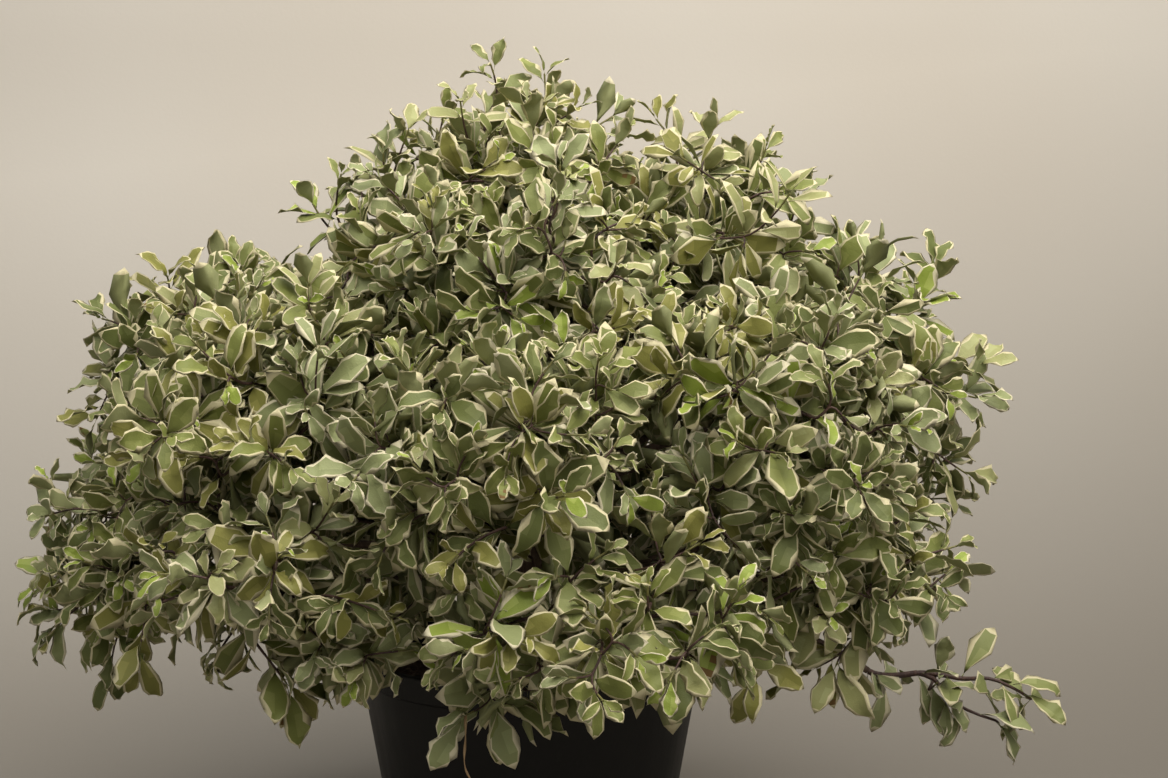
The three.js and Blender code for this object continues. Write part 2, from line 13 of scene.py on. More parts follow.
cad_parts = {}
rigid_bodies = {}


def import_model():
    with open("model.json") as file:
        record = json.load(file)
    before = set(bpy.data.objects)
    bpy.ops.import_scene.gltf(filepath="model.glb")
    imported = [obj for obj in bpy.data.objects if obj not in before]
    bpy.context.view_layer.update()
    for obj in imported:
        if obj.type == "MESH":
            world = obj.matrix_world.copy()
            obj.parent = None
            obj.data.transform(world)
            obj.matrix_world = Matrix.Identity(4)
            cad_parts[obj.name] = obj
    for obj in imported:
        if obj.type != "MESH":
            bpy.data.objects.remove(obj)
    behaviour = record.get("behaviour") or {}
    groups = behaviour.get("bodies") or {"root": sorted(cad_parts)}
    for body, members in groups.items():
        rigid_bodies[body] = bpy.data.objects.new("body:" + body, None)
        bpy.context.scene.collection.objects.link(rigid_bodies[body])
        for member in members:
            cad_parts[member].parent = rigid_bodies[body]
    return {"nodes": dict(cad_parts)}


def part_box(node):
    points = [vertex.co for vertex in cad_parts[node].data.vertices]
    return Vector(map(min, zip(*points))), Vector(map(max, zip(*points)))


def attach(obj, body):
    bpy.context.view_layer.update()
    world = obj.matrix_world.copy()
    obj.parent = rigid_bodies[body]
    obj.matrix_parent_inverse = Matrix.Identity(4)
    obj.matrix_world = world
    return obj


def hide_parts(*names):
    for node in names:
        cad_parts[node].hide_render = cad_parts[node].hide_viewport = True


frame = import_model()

bl_info = {
    "name": "Potted silver queen pittosporum",
    "version": (1, 0, 0),
    "blender": (4, 5, 0),
    "location": "View3D > Sidebar > Shrub",
    "description": "Grows a variegated shrub in its nursery pot round the packed solids",
    "category": "Object",
}

MM = 0.001
UP = Vector((0, 0, 1))
RIGHT = Vector((1, 0, 0))
GOLDEN_ANGLE = math.pi * (3 - math.sqrt(5))
# A direction lies along an axis where its part on it is more than this.
ALONG_AXIS = 0.9

BODY = "root"
FOLIAGE_NODES = sorted(name for name in frame["nodes"] if name.startswith("foliage_"))
BOUGH_NODES = sorted(name for name in frame["nodes"] if name.startswith("bough_"))
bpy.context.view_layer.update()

# The source's own sizes in millimetres, which the pot, the soil, the limbs and the twigs follow.
POT = {
    "height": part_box("pot")[1].z / MM,
    "base_radius": 101,
    "lip_radius": 140,
    "wall": 2.2,
    "floor": 3,
    "band_height": 22,
    "band_proud": 4,
    "foot": 2,
}
DRAIN = {"count": 6, "radius": 8, "ring": 74}
SOIL = {"edge_depth": 28, "crown": 6, "flat_radius": 32, "wall_gap": 0.4}
STEM = {
    "height": 296,
    "lean": Vector((-14, 6, 0)),
    "bow": Vector((9, -5, 0)),
    "foot_radius": 19,
    "flare_height": 26,
    "low_radius": 12.5,
    "tip_radius": 4,
}
BOUGH = {"fork_radius": 4.1, "tip_radius": 2.7, "seat_share": 1.1, "samples": 40}
TWIG = {
    "fork_share": 0.42,
    "taper": 0.92,
    "tip_radius": 1.1,
    "wander": 7,
    "bend": 0.3,
    "sunk": (0.6, 1.1),
    "stem_gap": 0.35,
    "limb_gap": 1.2,
    "pot_gap": 4,
    "samples": 6,
}
CORE_SHARE = (0.68, 1.02, 0.96)
SHOOT = {
    "tries": 24,
    "tries_open": 7,
    "inset": 0.38,
    "inset_least": 0.7,
    "inset_spread": 0.6,
    "jitter": 0.24,
    "least_outward": -0.12,
    "cell_margin": 6,
    "leaf_reach": 0.82 * 88,
    "leaf_reach_open": 0.82 * 60,
}
CLEARANCE = 0.3
HEART = Vector((0, 0, 330))

# The finer twigs end under the crown's outline, which a smoothed union of the lobes gives. fill closes the
# clefts between lobes, soften rounds them, and sway moves the outline in and out over sway_size. Tips are
# tried on rays from the crown's heart, in an order that stride mixes, and lie under the outline by inset and
# up to inset_spread more. A few strays lie higher by stray, so that some of them stand out of it. LAYERS
# tells how much deeper each layer of tips lies, and how much wider apart they are.
FINE = {
    "rays": 6400,
    "stride": 3961,
    "fill": 20,
    "soften": 9,
    "sway": 10,
    "sway_size": 70,
    "inset": 12,
    "inset_spread": 20,
    "stray_share": 0.14,
    "stray": 20,
    "leader_reach": 24,
    "tip_radius": 0.75,
}
LAYERS = ((0, 1), (58, 1.5), (118, 2))
TWIG_PATH = {"steps": 5, "green_from": 0.7}

# No fine tip but a leader hangs below the hem: at the front its height follows X, and behind it is level.
HEM_LINE = (
    (-420, 240), (-340, 243), (-300, 254), (-244, 300), (-215, 334), (-180, 334), (-162, 298), (-145, 264),
    (-115, 262), (-50, 272), (60, 274), (140, 270), (180, 258), (205, 278), (250, 286), (300, 290),
)
HEM_BEHIND = 234

# How much deeper under the outline the fine tips of these lobes lie.
TRIMS = {
    "skirt_front_right": 6,
    "skirt_right": 21,
    "shoulder_right": 8,
    "shoulder_left": 4,
    "skirt_left": 6,
    "crown_right": 16,
    "crown_peak": 11,
}

# Tips of shoots that stand out of the finer crown besides the leaders, by lobe.
SPIKES = {
    "shoulder_right": [(378, -16, 424), (366, -26, 352), (300, -40, 500), (324, -10, 516)],
    "shoulder_left": [(-352, -30, 448), (-368, -10, 400)],
    "skirt_left": [(-288, -150, 230), (-316, -110, 236), (-404, -30, 244)],
    "skirt_front_left": [
        (-132, -212, 258), (-116, -236, 250), (-160, -226, 226), (-104, -206, 262), (-80, -222, 256),
        (-112, -150, 300), (-96, -120, 288), (-47, -183, 302), (-51, -193, 279),
    ],
    "skirt_front": [(-58, -238, 256), (-30, -252, 262), (-100, -144, 300), (-55, -299, 232)],
    "skirt_front_right": [(150, -236, 240), (262, -150, 236), (206, -170, 222)],
    "skirt_right": [(354, -10, 348), (350, -10, 386)],
    "crown_left": [(-114, -40, 640), (-90, -40, 658)],
}
# Notches have no other fine tips. Each is round a level line from front to back, at X and height.
NOTCHES = [((-178, 562), 50), ((-236, 238), 54)]
# Leaders that end below this height hang.
HANGING_BELOW = 256

# How far short of their furthest leaf tips the finest twigs of these lobes' leaders end, in the leaders'
# own order.
LEADER_REACHES = {
    "crown_left": (42, 24),
    "shoulder_left": (28, 24, 24),
    "skirt_left": (24, 34, 24, 24, 24, 24),
    "skirt_front_left": (42, 30),
    "skirt_front": (56,),
    "skirt_right": (34, 36),
    "low_spray_right": (54, 46, 40, 44),
}

# Lobes of the crown: name, bearing, out, height, half sizes, fork height, arch, leaders' furthest leaf tips.
LOBES = [
    ("crown_peak", 180, 14, 588, (102, 108, 88), None, 0,
     [(-34, -8, 711), (18, 10, 704), (-84, 30, 668), (-60, -70, 672)]),
    ("crown_left", 186, 104, 526, (90, 104, 92), 438, -22, [(-197, -52, 604), (-146, 10, 622)]),
    ("crown_right", 2, 138, 544, (104, 106, 94), 452, -24,
     [(92, 14, 668), (146, -24, 662), (200, 6, 642), (230, -30, 598)]),
    ("crown_front", -86, 136, 506, (98, 112, 92), 414, -22, [(30, -170, 628)]),
    ("crown_back", 90, 134, 514, (98, 112, 92), 424, -22, [(48, 168, 636)]),
    ("shoulder_left", 180, 246, 442, (108, 106, 98), 352, -6,
     [(-364, -10, 500), (-296, -16, 543), (-238, 24, 552)]),
    ("shoulder_front_left", -136, 252, 412, (104, 106, 96), 340, 0, []),
    ("shoulder_front", -92, 256, 398, (98, 104, 92), 322, 2, []),
    ("shoulder_front_right", -47, 252, 416, (104, 106, 96), 346, 0, []),
    ("shoulder_right", 1, 252, 430, (108, 106, 100), 358, -6,
     [(252, -14, 566), (288, -20, 540), (338, 12, 542), (380, -8, 456)]),
    ("shoulder_back_right", 46, 252, 416, (104, 106, 96), 334, 0, [(246, 252, 506)]),
    ("shoulder_back", 91, 256, 402, (100, 104, 92), 316, 2, []),
    ("shoulder_back_left", 136, 252, 412, (104, 106, 96), 328, 0, []),
    ("skirt_left", 181, 284, 320, (116, 114, 88), 268, 30,
     [(-414, -14, 264), (-404, 10, 328), (-374, 20, 392), (-340, -46, 190), (-398, -34, 228),
      (-374, 36, 212)]),
    ("skirt_front_left", -128, 280, 322, (100, 116, 68), 250, 30, [(-238, -200, 228), (-156, -240, 222)]),
    ("skirt_front", -80, 280, 300, (98, 118, 72), 236, 34, [(-42, -300, 212)]),
    ("skirt_front_right", -31, 264, 312, (90, 106, 76), 262, 30, [(222, -192, 230)]),
    ("skirt_right", 18, 266, 312, (88, 106, 82), 244, 32, [(356, 50, 322), (338, 66, 252)]),
    ("skirt_back", 73, 278, 300, (102, 118, 80), 256, 34, []),
    ("skirt_back_left", 127, 282, 302, (104, 118, 82), 242, 34, [(-252, 300, 204)]),
    ("low_spray_right", -7, 330, 206, (80, 56, 44), 226, 80,
     [(444, -46, 178), (404, -62, 144), (354, -36, 226), (328, -70, 152)]),
]
OPEN_LOBES = {"low_spray_right"}

# Seeds of the rows of random numbers. A lobe or a leaf shape adds its own number to its seed.
SEEDS = {"lobe": 1, "fine": 201, "tips": 201, "leaf_shape": 301, "sprays": 401, "chips": 77, "scatter": 5}


def lerp(low, high, share):
    return low + (high - low) * share


def along_line(line, x):
    """The height of a line of (x, height) points at x."""
    for (x0, low), (x1, high) in zip(line, line[1:]):
        if x <= x1:
            return lerp(low, high, max(0, (x - x0) / (x1 - x0)))
    return line[-1][1]


class Draw:
    """The same seed always gives the same row of numbers from 0 to 1."""

    def __init__(self, seed):
        self.state = (seed * 2654435761) & 0xFFFFFFFF

    def __call__(self):
        self.state = (self.state * 1664525 + 1013904223) & 0xFFFFFFFF
        return self.state / 4294967296

    def spread(self, most):
        """A number from -most to most."""
        return (2 * self() - 1) * most


class Bend:
    """A quadratic curve from one place to another, drawn towards a third.

    Leaves and rings are spaced by its measure, which is about five eighths of its length.
    """

    def __init__(self, start, middle, end):
        self.start, self.middle, self.end = start, middle, end
        sides = (middle - start).length + (end - middle).length
        self.measure = 0.375 * sides + 0.25 * (end - start).length

    def at(self, share):
        back = 1 - share
        return back * back * self.start + 2 * back * share * self.middle + share * share * self.end

    def heading(self, share):
        return ((1 - share) * (self.middle - self.start) + share * (self.end - self.middle)).normalized()


class Twig:
    """One piece of twig, the twig it grew from, and whether it is a shoot with leaves, and of what kind."""

    def __init__(self, curve, low, high, parent, shoot):
        self.curve, self.low, self.high = curve, low, high
        self.parent, self.shoot, self.kind = parent, shoot, "outer"

    def radius(self, share):
        return lerp(self.low, self.high, share)


class Lobe:
    """One lobe of the crown, which grows from the tip of its own bough."""

    def __init__(self, index, name, bearing, out, height, size, fork, arch, leaders):
        angle = math.radians(bearing)
        self.index, self.name, self.size, self.fork, self.arch = index, name, size, fork, arch
        self.leaders = [Vector(place) for place in leaders]
        self.open = name in OPEN_LOBES
        self.outward = Vector((math.cos(angle), math.sin(angle), 0))
        self.sideways = Vector((-math.sin(angle), math.cos(angle), 0))
        self.middle = self.outward * out + UP * height
        self.radius = sum(size) / 3
        self.away = (self.middle - HEART).normalized()

    def place(self, shares):
        """A place in the lobe, from shares of its half sizes outwards, sideways and upwards."""
        out, side, up = (share * half for share, half in zip(shares, self.size))
        return self.middle + self.outward * out + self.sideways * side + UP * up

    def core_share(self, step):
        """How far a step from the lobe's middle goes, with the way to its core's surface as 1."""
        out, side, up = (half * share for half, share in zip(self.size, CORE_SHARE))
        return math.hypot(step.dot(self.outward) / out, step.dot(self.sideways) / side, step.z / up)

    def reach_from_heart(self, way, fill):
        """How far the lobe's outline, grown by fill, lies from the crown's heart, or None for a miss."""
        sizes = [half + fill for half in self.size]
        axes = (self.outward, self.sideways, UP)
        start = [(HEART - self.middle).dot(axis) / half for axis, half in zip(axes, sizes)]
        step = [way.dot(axis) / half for axis, half in zip(axes, sizes)]
        a = sum(s * s for s in step)
        b = sum(p * s for p, s in zip(start, step))
        c = sum(p * p for p in start) - 1
        if b * b < a * c:
            return None
        return (math.sqrt(b * b - a * c) - b) / a


def pot_wall_radius(height):
    return lerp(POT["base_radius"], POT["lip_radius"], height / POT["height"])


SOIL_EDGE = POT["height"] - SOIL["edge_depth"]
SOIL_TOP = SOIL_EDGE + SOIL["crown"]
STEM_FOOT = Vector((0, 0, SOIL_TOP + CLEARANCE))
STEM_TIP = STEM_FOOT + UP * STEM["height"] + STEM["lean"]
STEM_CURVE = Bend(STEM_FOOT, STEM_FOOT.lerp(STEM_TIP, 0.5) + STEM["bow"], STEM_TIP)


def stem_radius(share):
    flare = max(0, 1 - share * STEM["height"] / STEM["flare_height"])
    taper = lerp(STEM["low_radius"], STEM["tip_radius"], share)
    return taper + (STEM["foot_radius"] - STEM["low_radius"]) * flare * flare


def bough_radius(share):
    return lerp(BOUGH["fork_radius"], BOUGH["tip_radius"], share)


def bough_curve(lobe):
    """A bough ends just short of its lobe's core, as in the source."""
    fork = STEM_CURVE.at((lobe.fork - STEM_FOOT.z) / STEM["height"])
    heading = (lobe.middle - fork).normalized()
    seat = lobe.middle - heading * (BOUGH["seat_share"] / lobe.core_share(heading))
    return Bend(fork, fork.lerp(seat, 0.5) + UP * lobe.arch, seat)


class Crown:
    """The shrub's limbs, twigs and shoots, grown by the source's rule and carried on to finer twigs."""

    def __init__(self):
        self.lobes = [Lobe(index, *facts) for index, facts in enumerate(LOBES)]
        self.boughs = {lobe.name: bough_curve(lobe) for lobe in self.lobes if lobe.fork}
        self.stem_samples = self.samples([STEM_CURVE])
        self.bough_samples = self.samples(self.boughs.values())
        self.twigs = []
        self.deep, self.leaders = set(), set()
        tips = self.spread_tips()
        for lobe in self.lobes:
            self.grow(lobe, tips[lobe.name])

    def samples(self, curves):
        """Places along the curves, in a tree that finds the nearest."""
        places = [curve.at(k / BOUGH["samples"]) for curve in curves for k in range(BOUGH["samples"] + 1)]
        tree = KDTree(len(places))
        for number, place in enumerate(places):
            tree.insert(place, number)
        tree.balance()
        return tree

    def limb_gap(self, place):
        """How far a place stands clear of the stem and the boughs."""
        stem = self.stem_samples.find(place)[2] - STEM["low_radius"]
        return min(stem, self.bough_samples.find(place)[2] - BOUGH["fork_radius"])

    def depth_in_cell(self, lobe, point):
        """How far inside the lobe's own share of the crown a point lies."""
        own = (point - lobe.middle).length_squared - lobe.radius**2
        gaps = []
        for other in self.lobes:
            if other is not lobe:
                reach = (point - other.middle).length_squared - other.radius**2
                gaps.append((reach - own) / (2 * (other.middle - lobe.middle).length))
        return min(gaps)

    def outline(self, way):
        """How far the crown's smoothed outline lies from its heart, or None where it is missed."""
        reaches = [lobe.reach_from_heart(way, FINE["fill"]) for lobe in self.lobes if not lobe.open]
        reaches = [reach for reach in reaches if reach]
        if not reaches:
            return None
        most = max(reaches)
        blend = sum(math.exp((reach - most) / FINE["soften"]) for reach in reaches)
        reach = most + FINE["soften"] * math.log(blend) - FINE["fill"]
        return reach + FINE["sway"] * noise.noise(way * reach / FINE["sway_size"])

    def owner(self, point):
        """The lobe in whose share of the crown a point lies."""
        closed = [lobe for lobe in self.lobes if not lobe.open]
        return min(closed, key=lambda lobe: (point - lobe.middle).length_squared - lobe.radius**2)

    def shoot_tips(self, lobe, draw):
        """The source's own shoot tips: even places on the lobe's outer side, then its leaders."""
        count = SHOOT["tries_open"] if lobe.open else SHOOT["tries"]
        tips = []
        for k in range(count):
            spin = spiral(k, count, lobe.index)
            wobble = [(draw() - 0.5) * SHOOT["jitter"] for _ in range(3)]
            depth = 1 - SHOOT["inset"] * (SHOOT["inset_least"] + SHOOT["inset_spread"] * draw())
            point = lobe.place([(x + w) * depth for x, w in zip(spin, wobble)])
            outward = (point - lobe.middle).dot(lobe.away) / lobe.radius
            if outward > SHOOT["least_outward"] and self.depth_in_cell(lobe, point) > SHOOT["cell_margin"]:
                tips.append(point)
        reach = SHOOT["leaf_reach_open"] if lobe.open else SHOOT["leaf_reach"]
        return tips + [inward(leader, lobe, reach) for leader in lobe.leaders]

    def leader_tips(self, lobe):
        """Where the finest twigs of the lobe's leaders end, and then those of its spikes."""
        reaches = LEADER_REACHES.get(lobe.name, [FINE["leader_reach"]] * len(lobe.leaders))
        spikes = [inward(Vector(place), lobe, FINE["leader_reach"]) for place in SPIKES.get(lobe.name, ())]
        return [inward(leader, lobe, reach) for leader, reach in zip(lobe.leaders, reaches)] + spikes

    def spread_tips(self):
        """Tips of the finer shoots in even layers under the crown's outline, dealt to their lobes."""
        draw = Draw(SEEDS["tips"])
        gap = settings().shoot_gap / MM
        layers = [(Spacing(gap * wider), depth) for depth, wider in LAYERS]
        tips = {}
        for lobe in self.lobes:
            tips[lobe.name] = self.leader_tips(lobe)
            self.leaders |= {tuple(tip) for tip in tips[lobe.name]}
            for tip in tips[lobe.name]:
                layers[0][0].take(tip)
        for k in range(FINE["rays"]):
            way = Vector(spiral(k * FINE["stride"] % FINE["rays"], FINE["rays"], 0))
            reach = self.outline(way)
            inset = FINE["inset"] + draw() * FINE["inset_spread"]
            if draw() < FINE["stray_share"]:
                inset -= FINE["stray"]
            if not reach:
                continue
            for spacing, depth in layers:
                tip = HEART + way * (reach - inset - depth)
                lobe = self.owner(tip)
                tip -= way * TRIMS.get(lobe.name, 0)
                hem = along_line(HEM_LINE, tip.x) if tip.y < 0 else HEM_BEHIND
                is_free = all(math.dist((tip.x, tip.z), middle) > radius for middle, radius in NOTCHES)
                if tip.z > hem and is_free and spacing.has_room(tip):
                    spacing.take(tip)
                    tips[lobe.name].append(tip)
                    if depth:
                        self.deep.add(tuple(tip))
        return tips

    def has_room(self, twig):
        """Whether a twig stays clear of the limbs and the pot."""
        places = [twig.curve.at(k / TWIG["samples"]) for k in range(1, TWIG["samples"] + 1)]
        gap = min(self.limb_gap(place) for place in places)
        return gap > twig.low + TWIG["limb_gap"] and all(is_clear_of_pot(place) for place in places)

    def grow(self, lobe, tips):
        """Grows a lobe's twigs as the source does, then carries each shoot on to its nearest fine tips."""
        draw = Draw(SEEDS["lobe"] + lobe.index)
        fine_draw = Draw(SEEDS["fine"] + lobe.index)
        if lobe.fork:
            seat, heading = self.boughs[lobe.name].at(1), self.boughs[lobe.name].heading(1)
        else:
            seat, heading = STEM_TIP, STEM_CURVE.heading(1)
        coarse = []
        start = seat + heading * TWIG["stem_gap"]
        branch(start, heading, self.shoot_tips(lobe, draw), BOUGH["tip_radius"], draw, coarse)
        ends = [twig for twig in coarse if twig.shoot and self.has_room(twig)]
        groups = {id(twig): [] for twig in ends}
        for tip in tips:
            nearest = min(ends, key=lambda twig: (twig.curve.end - tip).length)
            groups[id(nearest)].append(tip)
        fine = []
        for twig in ends:
            if groups[id(twig)]:
                onward = twig.curve.heading(1)
                root = twig.curve.end - onward * TWIG["sunk"][0]
                branch(
                    root, onward, groups[id(twig)], TWIG["tip_radius"], fine_draw, fine,
                    parent=twig, tip_radius=FINE["tip_radius"],
                )
        used = [twig for twig in coarse if not twig.shoot or groups.get(id(twig))]
        for twig in used:
            twig.shoot = False
        for twig in fine:
            twig.kind = self.kind(twig, lobe)
        self.twigs += used + fine

    def kind(self, twig, lobe):
        """The kind of shoot that a fine twig ends in."""
        end = tuple(twig.curve.end)
        if lobe.open:
            return "open" if end == tuple(self.leader_tips(lobe)[0]) else "sparse"
        if end not in self.leaders:
            return "deep" if end in self.deep else "outer"
        if lobe.name.startswith("crown"):
            return "bare"
        return "hanging" if twig.curve.end.z < HANGING_BELOW else "leader"


class Spacing:
    """Keeps places at least a gap apart, by the cells of a grid."""

    def __init__(self, gap):
        self.gap, self.cells = gap, {}

    def cell(self, place):
        return tuple(math.floor(x / self.gap) for x in place)

    def take(self, place):
        self.cells.setdefault(self.cell(place), []).append(place)

    def has_room(self, place):
        x, y, z = self.cell(place)
        steps = (-1, 0, 1)
        near = (self.cells.get((x + i, y + j, z + k), ()) for i in steps for j in steps for k in steps)
        return all((place - other).length > self.gap for cell in near for other in cell)


def spiral(number, count, turn):
    """One of an even spread of directions over a ball."""
    level = 1 - 2 * (number + 0.5) / count
    angle = number * GOLDEN_ANGLE + turn
    ring = math.sqrt(1 - level * level)
    return ring * math.cos(angle), ring * math.sin(angle), level


def inward(place, lobe, reach):
    """The place that lies reach nearer to the lobe's middle."""
    return place + (lobe.middle - place).normalized() * reach


def is_clear_of_pot(place):
    aside = math.hypot(place.x, place.y) - POT["lip_radius"] - POT["band_proud"]
    return place.z - POT["height"] > TWIG["pot_gap"] or aside > TWIG["pot_gap"]


def halves(tips):
    """Splits the tips in two along the axis they spread over most."""
    spans = [max(tip[axis] for tip in tips) - min(tip[axis] for tip in tips) for axis in range(3)]
    axis = spans.index(max(spans))
    ordered = sorted(tips, key=lambda tip: tip[axis])
    middle = math.ceil(len(ordered) / 2)
    return ordered[:middle], ordered[middle:]


def branch(start, heading, tips, radius, draw, twigs, parent=None, tip_radius=TWIG["tip_radius"]):
    """The growing rule: a twig heads for its tips' middle and forks, and each branch takes half of them."""
    if len(tips) == 1:
        bend = start + heading * (tips[0] - start).length * TWIG["bend"]
        twigs.append(Twig(Bend(start, bend, tips[0]), radius, tip_radius, parent, True))
        return
    fork = start.lerp(sum(tips, Vector()) / len(tips), TWIG["fork_share"])
    fork += Vector([(draw() - 0.5) * TWIG["wander"] for _ in range(3)])
    thinner = max(tip_radius, radius) * TWIG["taper"]
    bend = start + heading * (fork - start).length * TWIG["bend"]
    twig = Twig(Bend(start, bend, fork), radius, thinner, parent, False)
    twigs.append(twig)
    onward = twig.curve.heading(1)
    for half, sunk in zip(halves(tips), TWIG["sunk"]):
        root = fork - onward * thinner * sunk
        branch(root, onward, half, thinner * TWIG["taper"], draw, twigs, twig, tip_radius)


# Leaves

# The shape of a leaf, in shares of its length with the petiole.
LEAF = {
    "petiole": 0.1,
    "petiole_radius": 0.013,
    "petiole_end": 0.15,
    "petiole_drop": 0.4,
    "petiole_corners": ((0, 0.75), (-0.9, -0.35), (0.9, -0.35)),
    "base": 0.08,
    "base_power": 1.1,
    "tip_power": 0.85,
    "curl_power": 1.6,
    "spine_steps": 12,
    "thick": 0.01,
    "belly_lift": 0.012,
}
TEETH = {"from": 0.45, "out": 0.55, "in": -0.45, "least": 0.5, "most": 1.2, "jitter": 0.03}
# The cream margin widens from base to tip, and is broad in one place within broad_at.
CREAM = {
    "base": 0.8,
    "tip": 1.3,
    "jitter": 0.6,
    "most": 0.8,
    "broad": 2,
    "broad_at": (0.2, 0.7),
    "broad_reach": 0.14,
}
SPOTS = {"past_row": 2, "share": 0.35}

# How the leaves stand on their shoots. They hang up to hang_height and lift from lift_height on, and the few
# fresh ones at some outer shoots' tips have the young tint.
HABIT = {
    "low_spread": math.radians(78),
    "high_spread": math.radians(22),
    "spread_power": 0.6,
    "spread_jitter": math.radians(17),
    "turn_jitter": math.radians(22),
    "roll_jitter": math.radians(30),
    "hang": -0.42,
    "lift": 0.16,
    "hang_height": 200,
    "lift_height": 430,
    "full_at": 5,
    "size_power": 0.8,
    "size_jitter": 0.16,
    "spray_jitter": 0.12,
    "crowding": 1.75,
    "limb_gap": 2,
    "middle": 0.55,
    "fresh_leaves": 2,
    "fresh_share": 0.4,
}
# How each kind of shoot carries its leaves: how many, over what measure of twig, how small the tip leaf is
# against the others, how much more they roll about their midribs, how large they are, how far they turn to
# the light, and how much more they point upwards.
SHOOT_KINDS = {
    "outer": {"leaves": 13, "leafy": 76, "tip_size": 0.42, "roll": 1, "size": 1, "turned": 0.5, "lift": 0},
    "leader": {
        "leaves": 12, "leafy": 58, "tip_size": 0.7, "roll": 1.1, "size": 1.05, "turned": 1.1, "lift": 0.1,
    },
    "bare": {"leaves": 8, "leafy": 30, "tip_size": 0.6, "roll": 1.2, "size": 1, "turned": 1, "lift": -0.05},
    "hanging": {
        "leaves": 7, "leafy": 46, "tip_size": 0.9, "roll": 1, "size": 1.1, "turned": 1.2, "lift": -0.05,
    },
    "open": {"leaves": 13, "leafy": 50, "tip_size": 0.8, "roll": 1, "size": 1.2, "turned": 2, "lift": 0.3},
    "sparse": {"leaves": 7, "leafy": 66, "tip_size": 0.8, "roll": 1, "size": 1.16, "turned": 2, "lift": 0.04},
    "deep": {"leaves": 10, "leafy": 66, "tip_size": 0.7, "roll": 1.4, "size": 1.05, "turned": 0.5, "lift": 0},
}
# Leaves turn their faces to the light, which comes from above and in front.
LIGHT = Vector((0, -0.4, 0.9))
ZONES = ("blade", "patch", "margin", "underside", "spot")
BLADE, PATCH, MARGIN, UNDERSIDE, SPOT = range(5)

# Each leaf shape: width share, belly place, curl, twist, fold, wave, waves, tooth depth, margin share, and
# bend aside.
LEAF_SHAPES = [
    (0.44, 0.55, 0.5, 0.2, 0.24, 0.04, 1.5, 0.15, 0.2, 0.02),
    (0.37, 0.52, 0.95, -0.5, 0.3, 0.05, 2.0, 0, 0.25, -0.03),
    (0.47, 0.56, 0.3, 0.0, 0.16, 0.044, 1.5, 0.14, 0.19, 0.03),
    (0.4, 0.56, 0.75, 0.7, 0.34, 0.06, 2.5, 0.22, 0.25, 0.06),
    (0.42, 0.56, 0.45, -0.2, 0.2, 0.04, 2.0, 0, 0.21, -0.02),
    (0.36, 0.5, 1.3, 0.4, 0.26, 0.05, 2.0, 0, 0.29, 0.07),
    (0.44, 0.58, 0.15, -0.6, 0.28, 0.06, 2.5, 0.24, 0.23, -0.06),
    (0.46, 0.54, 0.8, 0.3, 0.12, 0.042, 1.5, 0, 0.19, -0.04),
    (0.42, 0.56, 0.6, -0.3, 0.22, 0.05, 2.0, 0.18, 0.25, 0.04),
]
# The last of them has brown spots, and few leaves are of it.
SPOTTED_SHARE = 0.012
# Leaves low on a shoot are hidden by those above, so they have fewer rows.
INNER_SHAPES = [
    (0.42, 0.56, 0.6, 0.2, 0.2, 0.02, 1.5, 0, 0.24, 0.02),
    (0.46, 0.58, 0.4, -0.3, 0.24, 0.02, 1.5, 0, 0.22, -0.02),
    (0.4, 0.55, 0.9, 0.4, 0.16, 0.02, 1.5, 0, 0.27, 0.03),
]
# Where the rows of places lie along a leaf.
PLAIN_ROWS = (0.1, 0.25, 0.42, 0.59, 0.76, 0.9)
TOOTHED_ROWS = (0.1, 0.26, 0.42, 0.56, 0.68, 0.8, 0.91)
INNER_ROWS = (0.14, 0.52, 0.85)
# Past this share of a shoot's leaves, from its tip, they are inner ones.
INNER_FROM = 0.5


class ShapeBuilder:
    """Vertices and faces of one mesh, with a whole number on each face."""

    def __init__(self):
        self.places, self.faces, self.zones = [], [], []

    def add(self, place):
        self.places.append(place)
        return len(self.places) - 1

    def face(self, corners, zone=0):
        self.faces.append(corners)
        self.zones.append(zone)

    def join_rings(self, rings):
        """Joins closed rings of places in order, and closes both ends."""
        for low, high in zip(rings, rings[1:]):
            for k in range(len(low)):
                after = (k + 1) % len(low)
                self.face((low[k], low[after], high[after], high[k]))
        self.face(rings[0][::-1])
        self.face(rings[-1])

    def mesh(self, name):
        mesh = bpy.data.meshes.new(name)
        mesh.from_pydata(self.places, [], self.faces)
        attribute = mesh.attributes.new("zone", "INT", "FACE")
        attribute.data.foreach_set("value", self.zones)
        mesh.update()
        return mesh


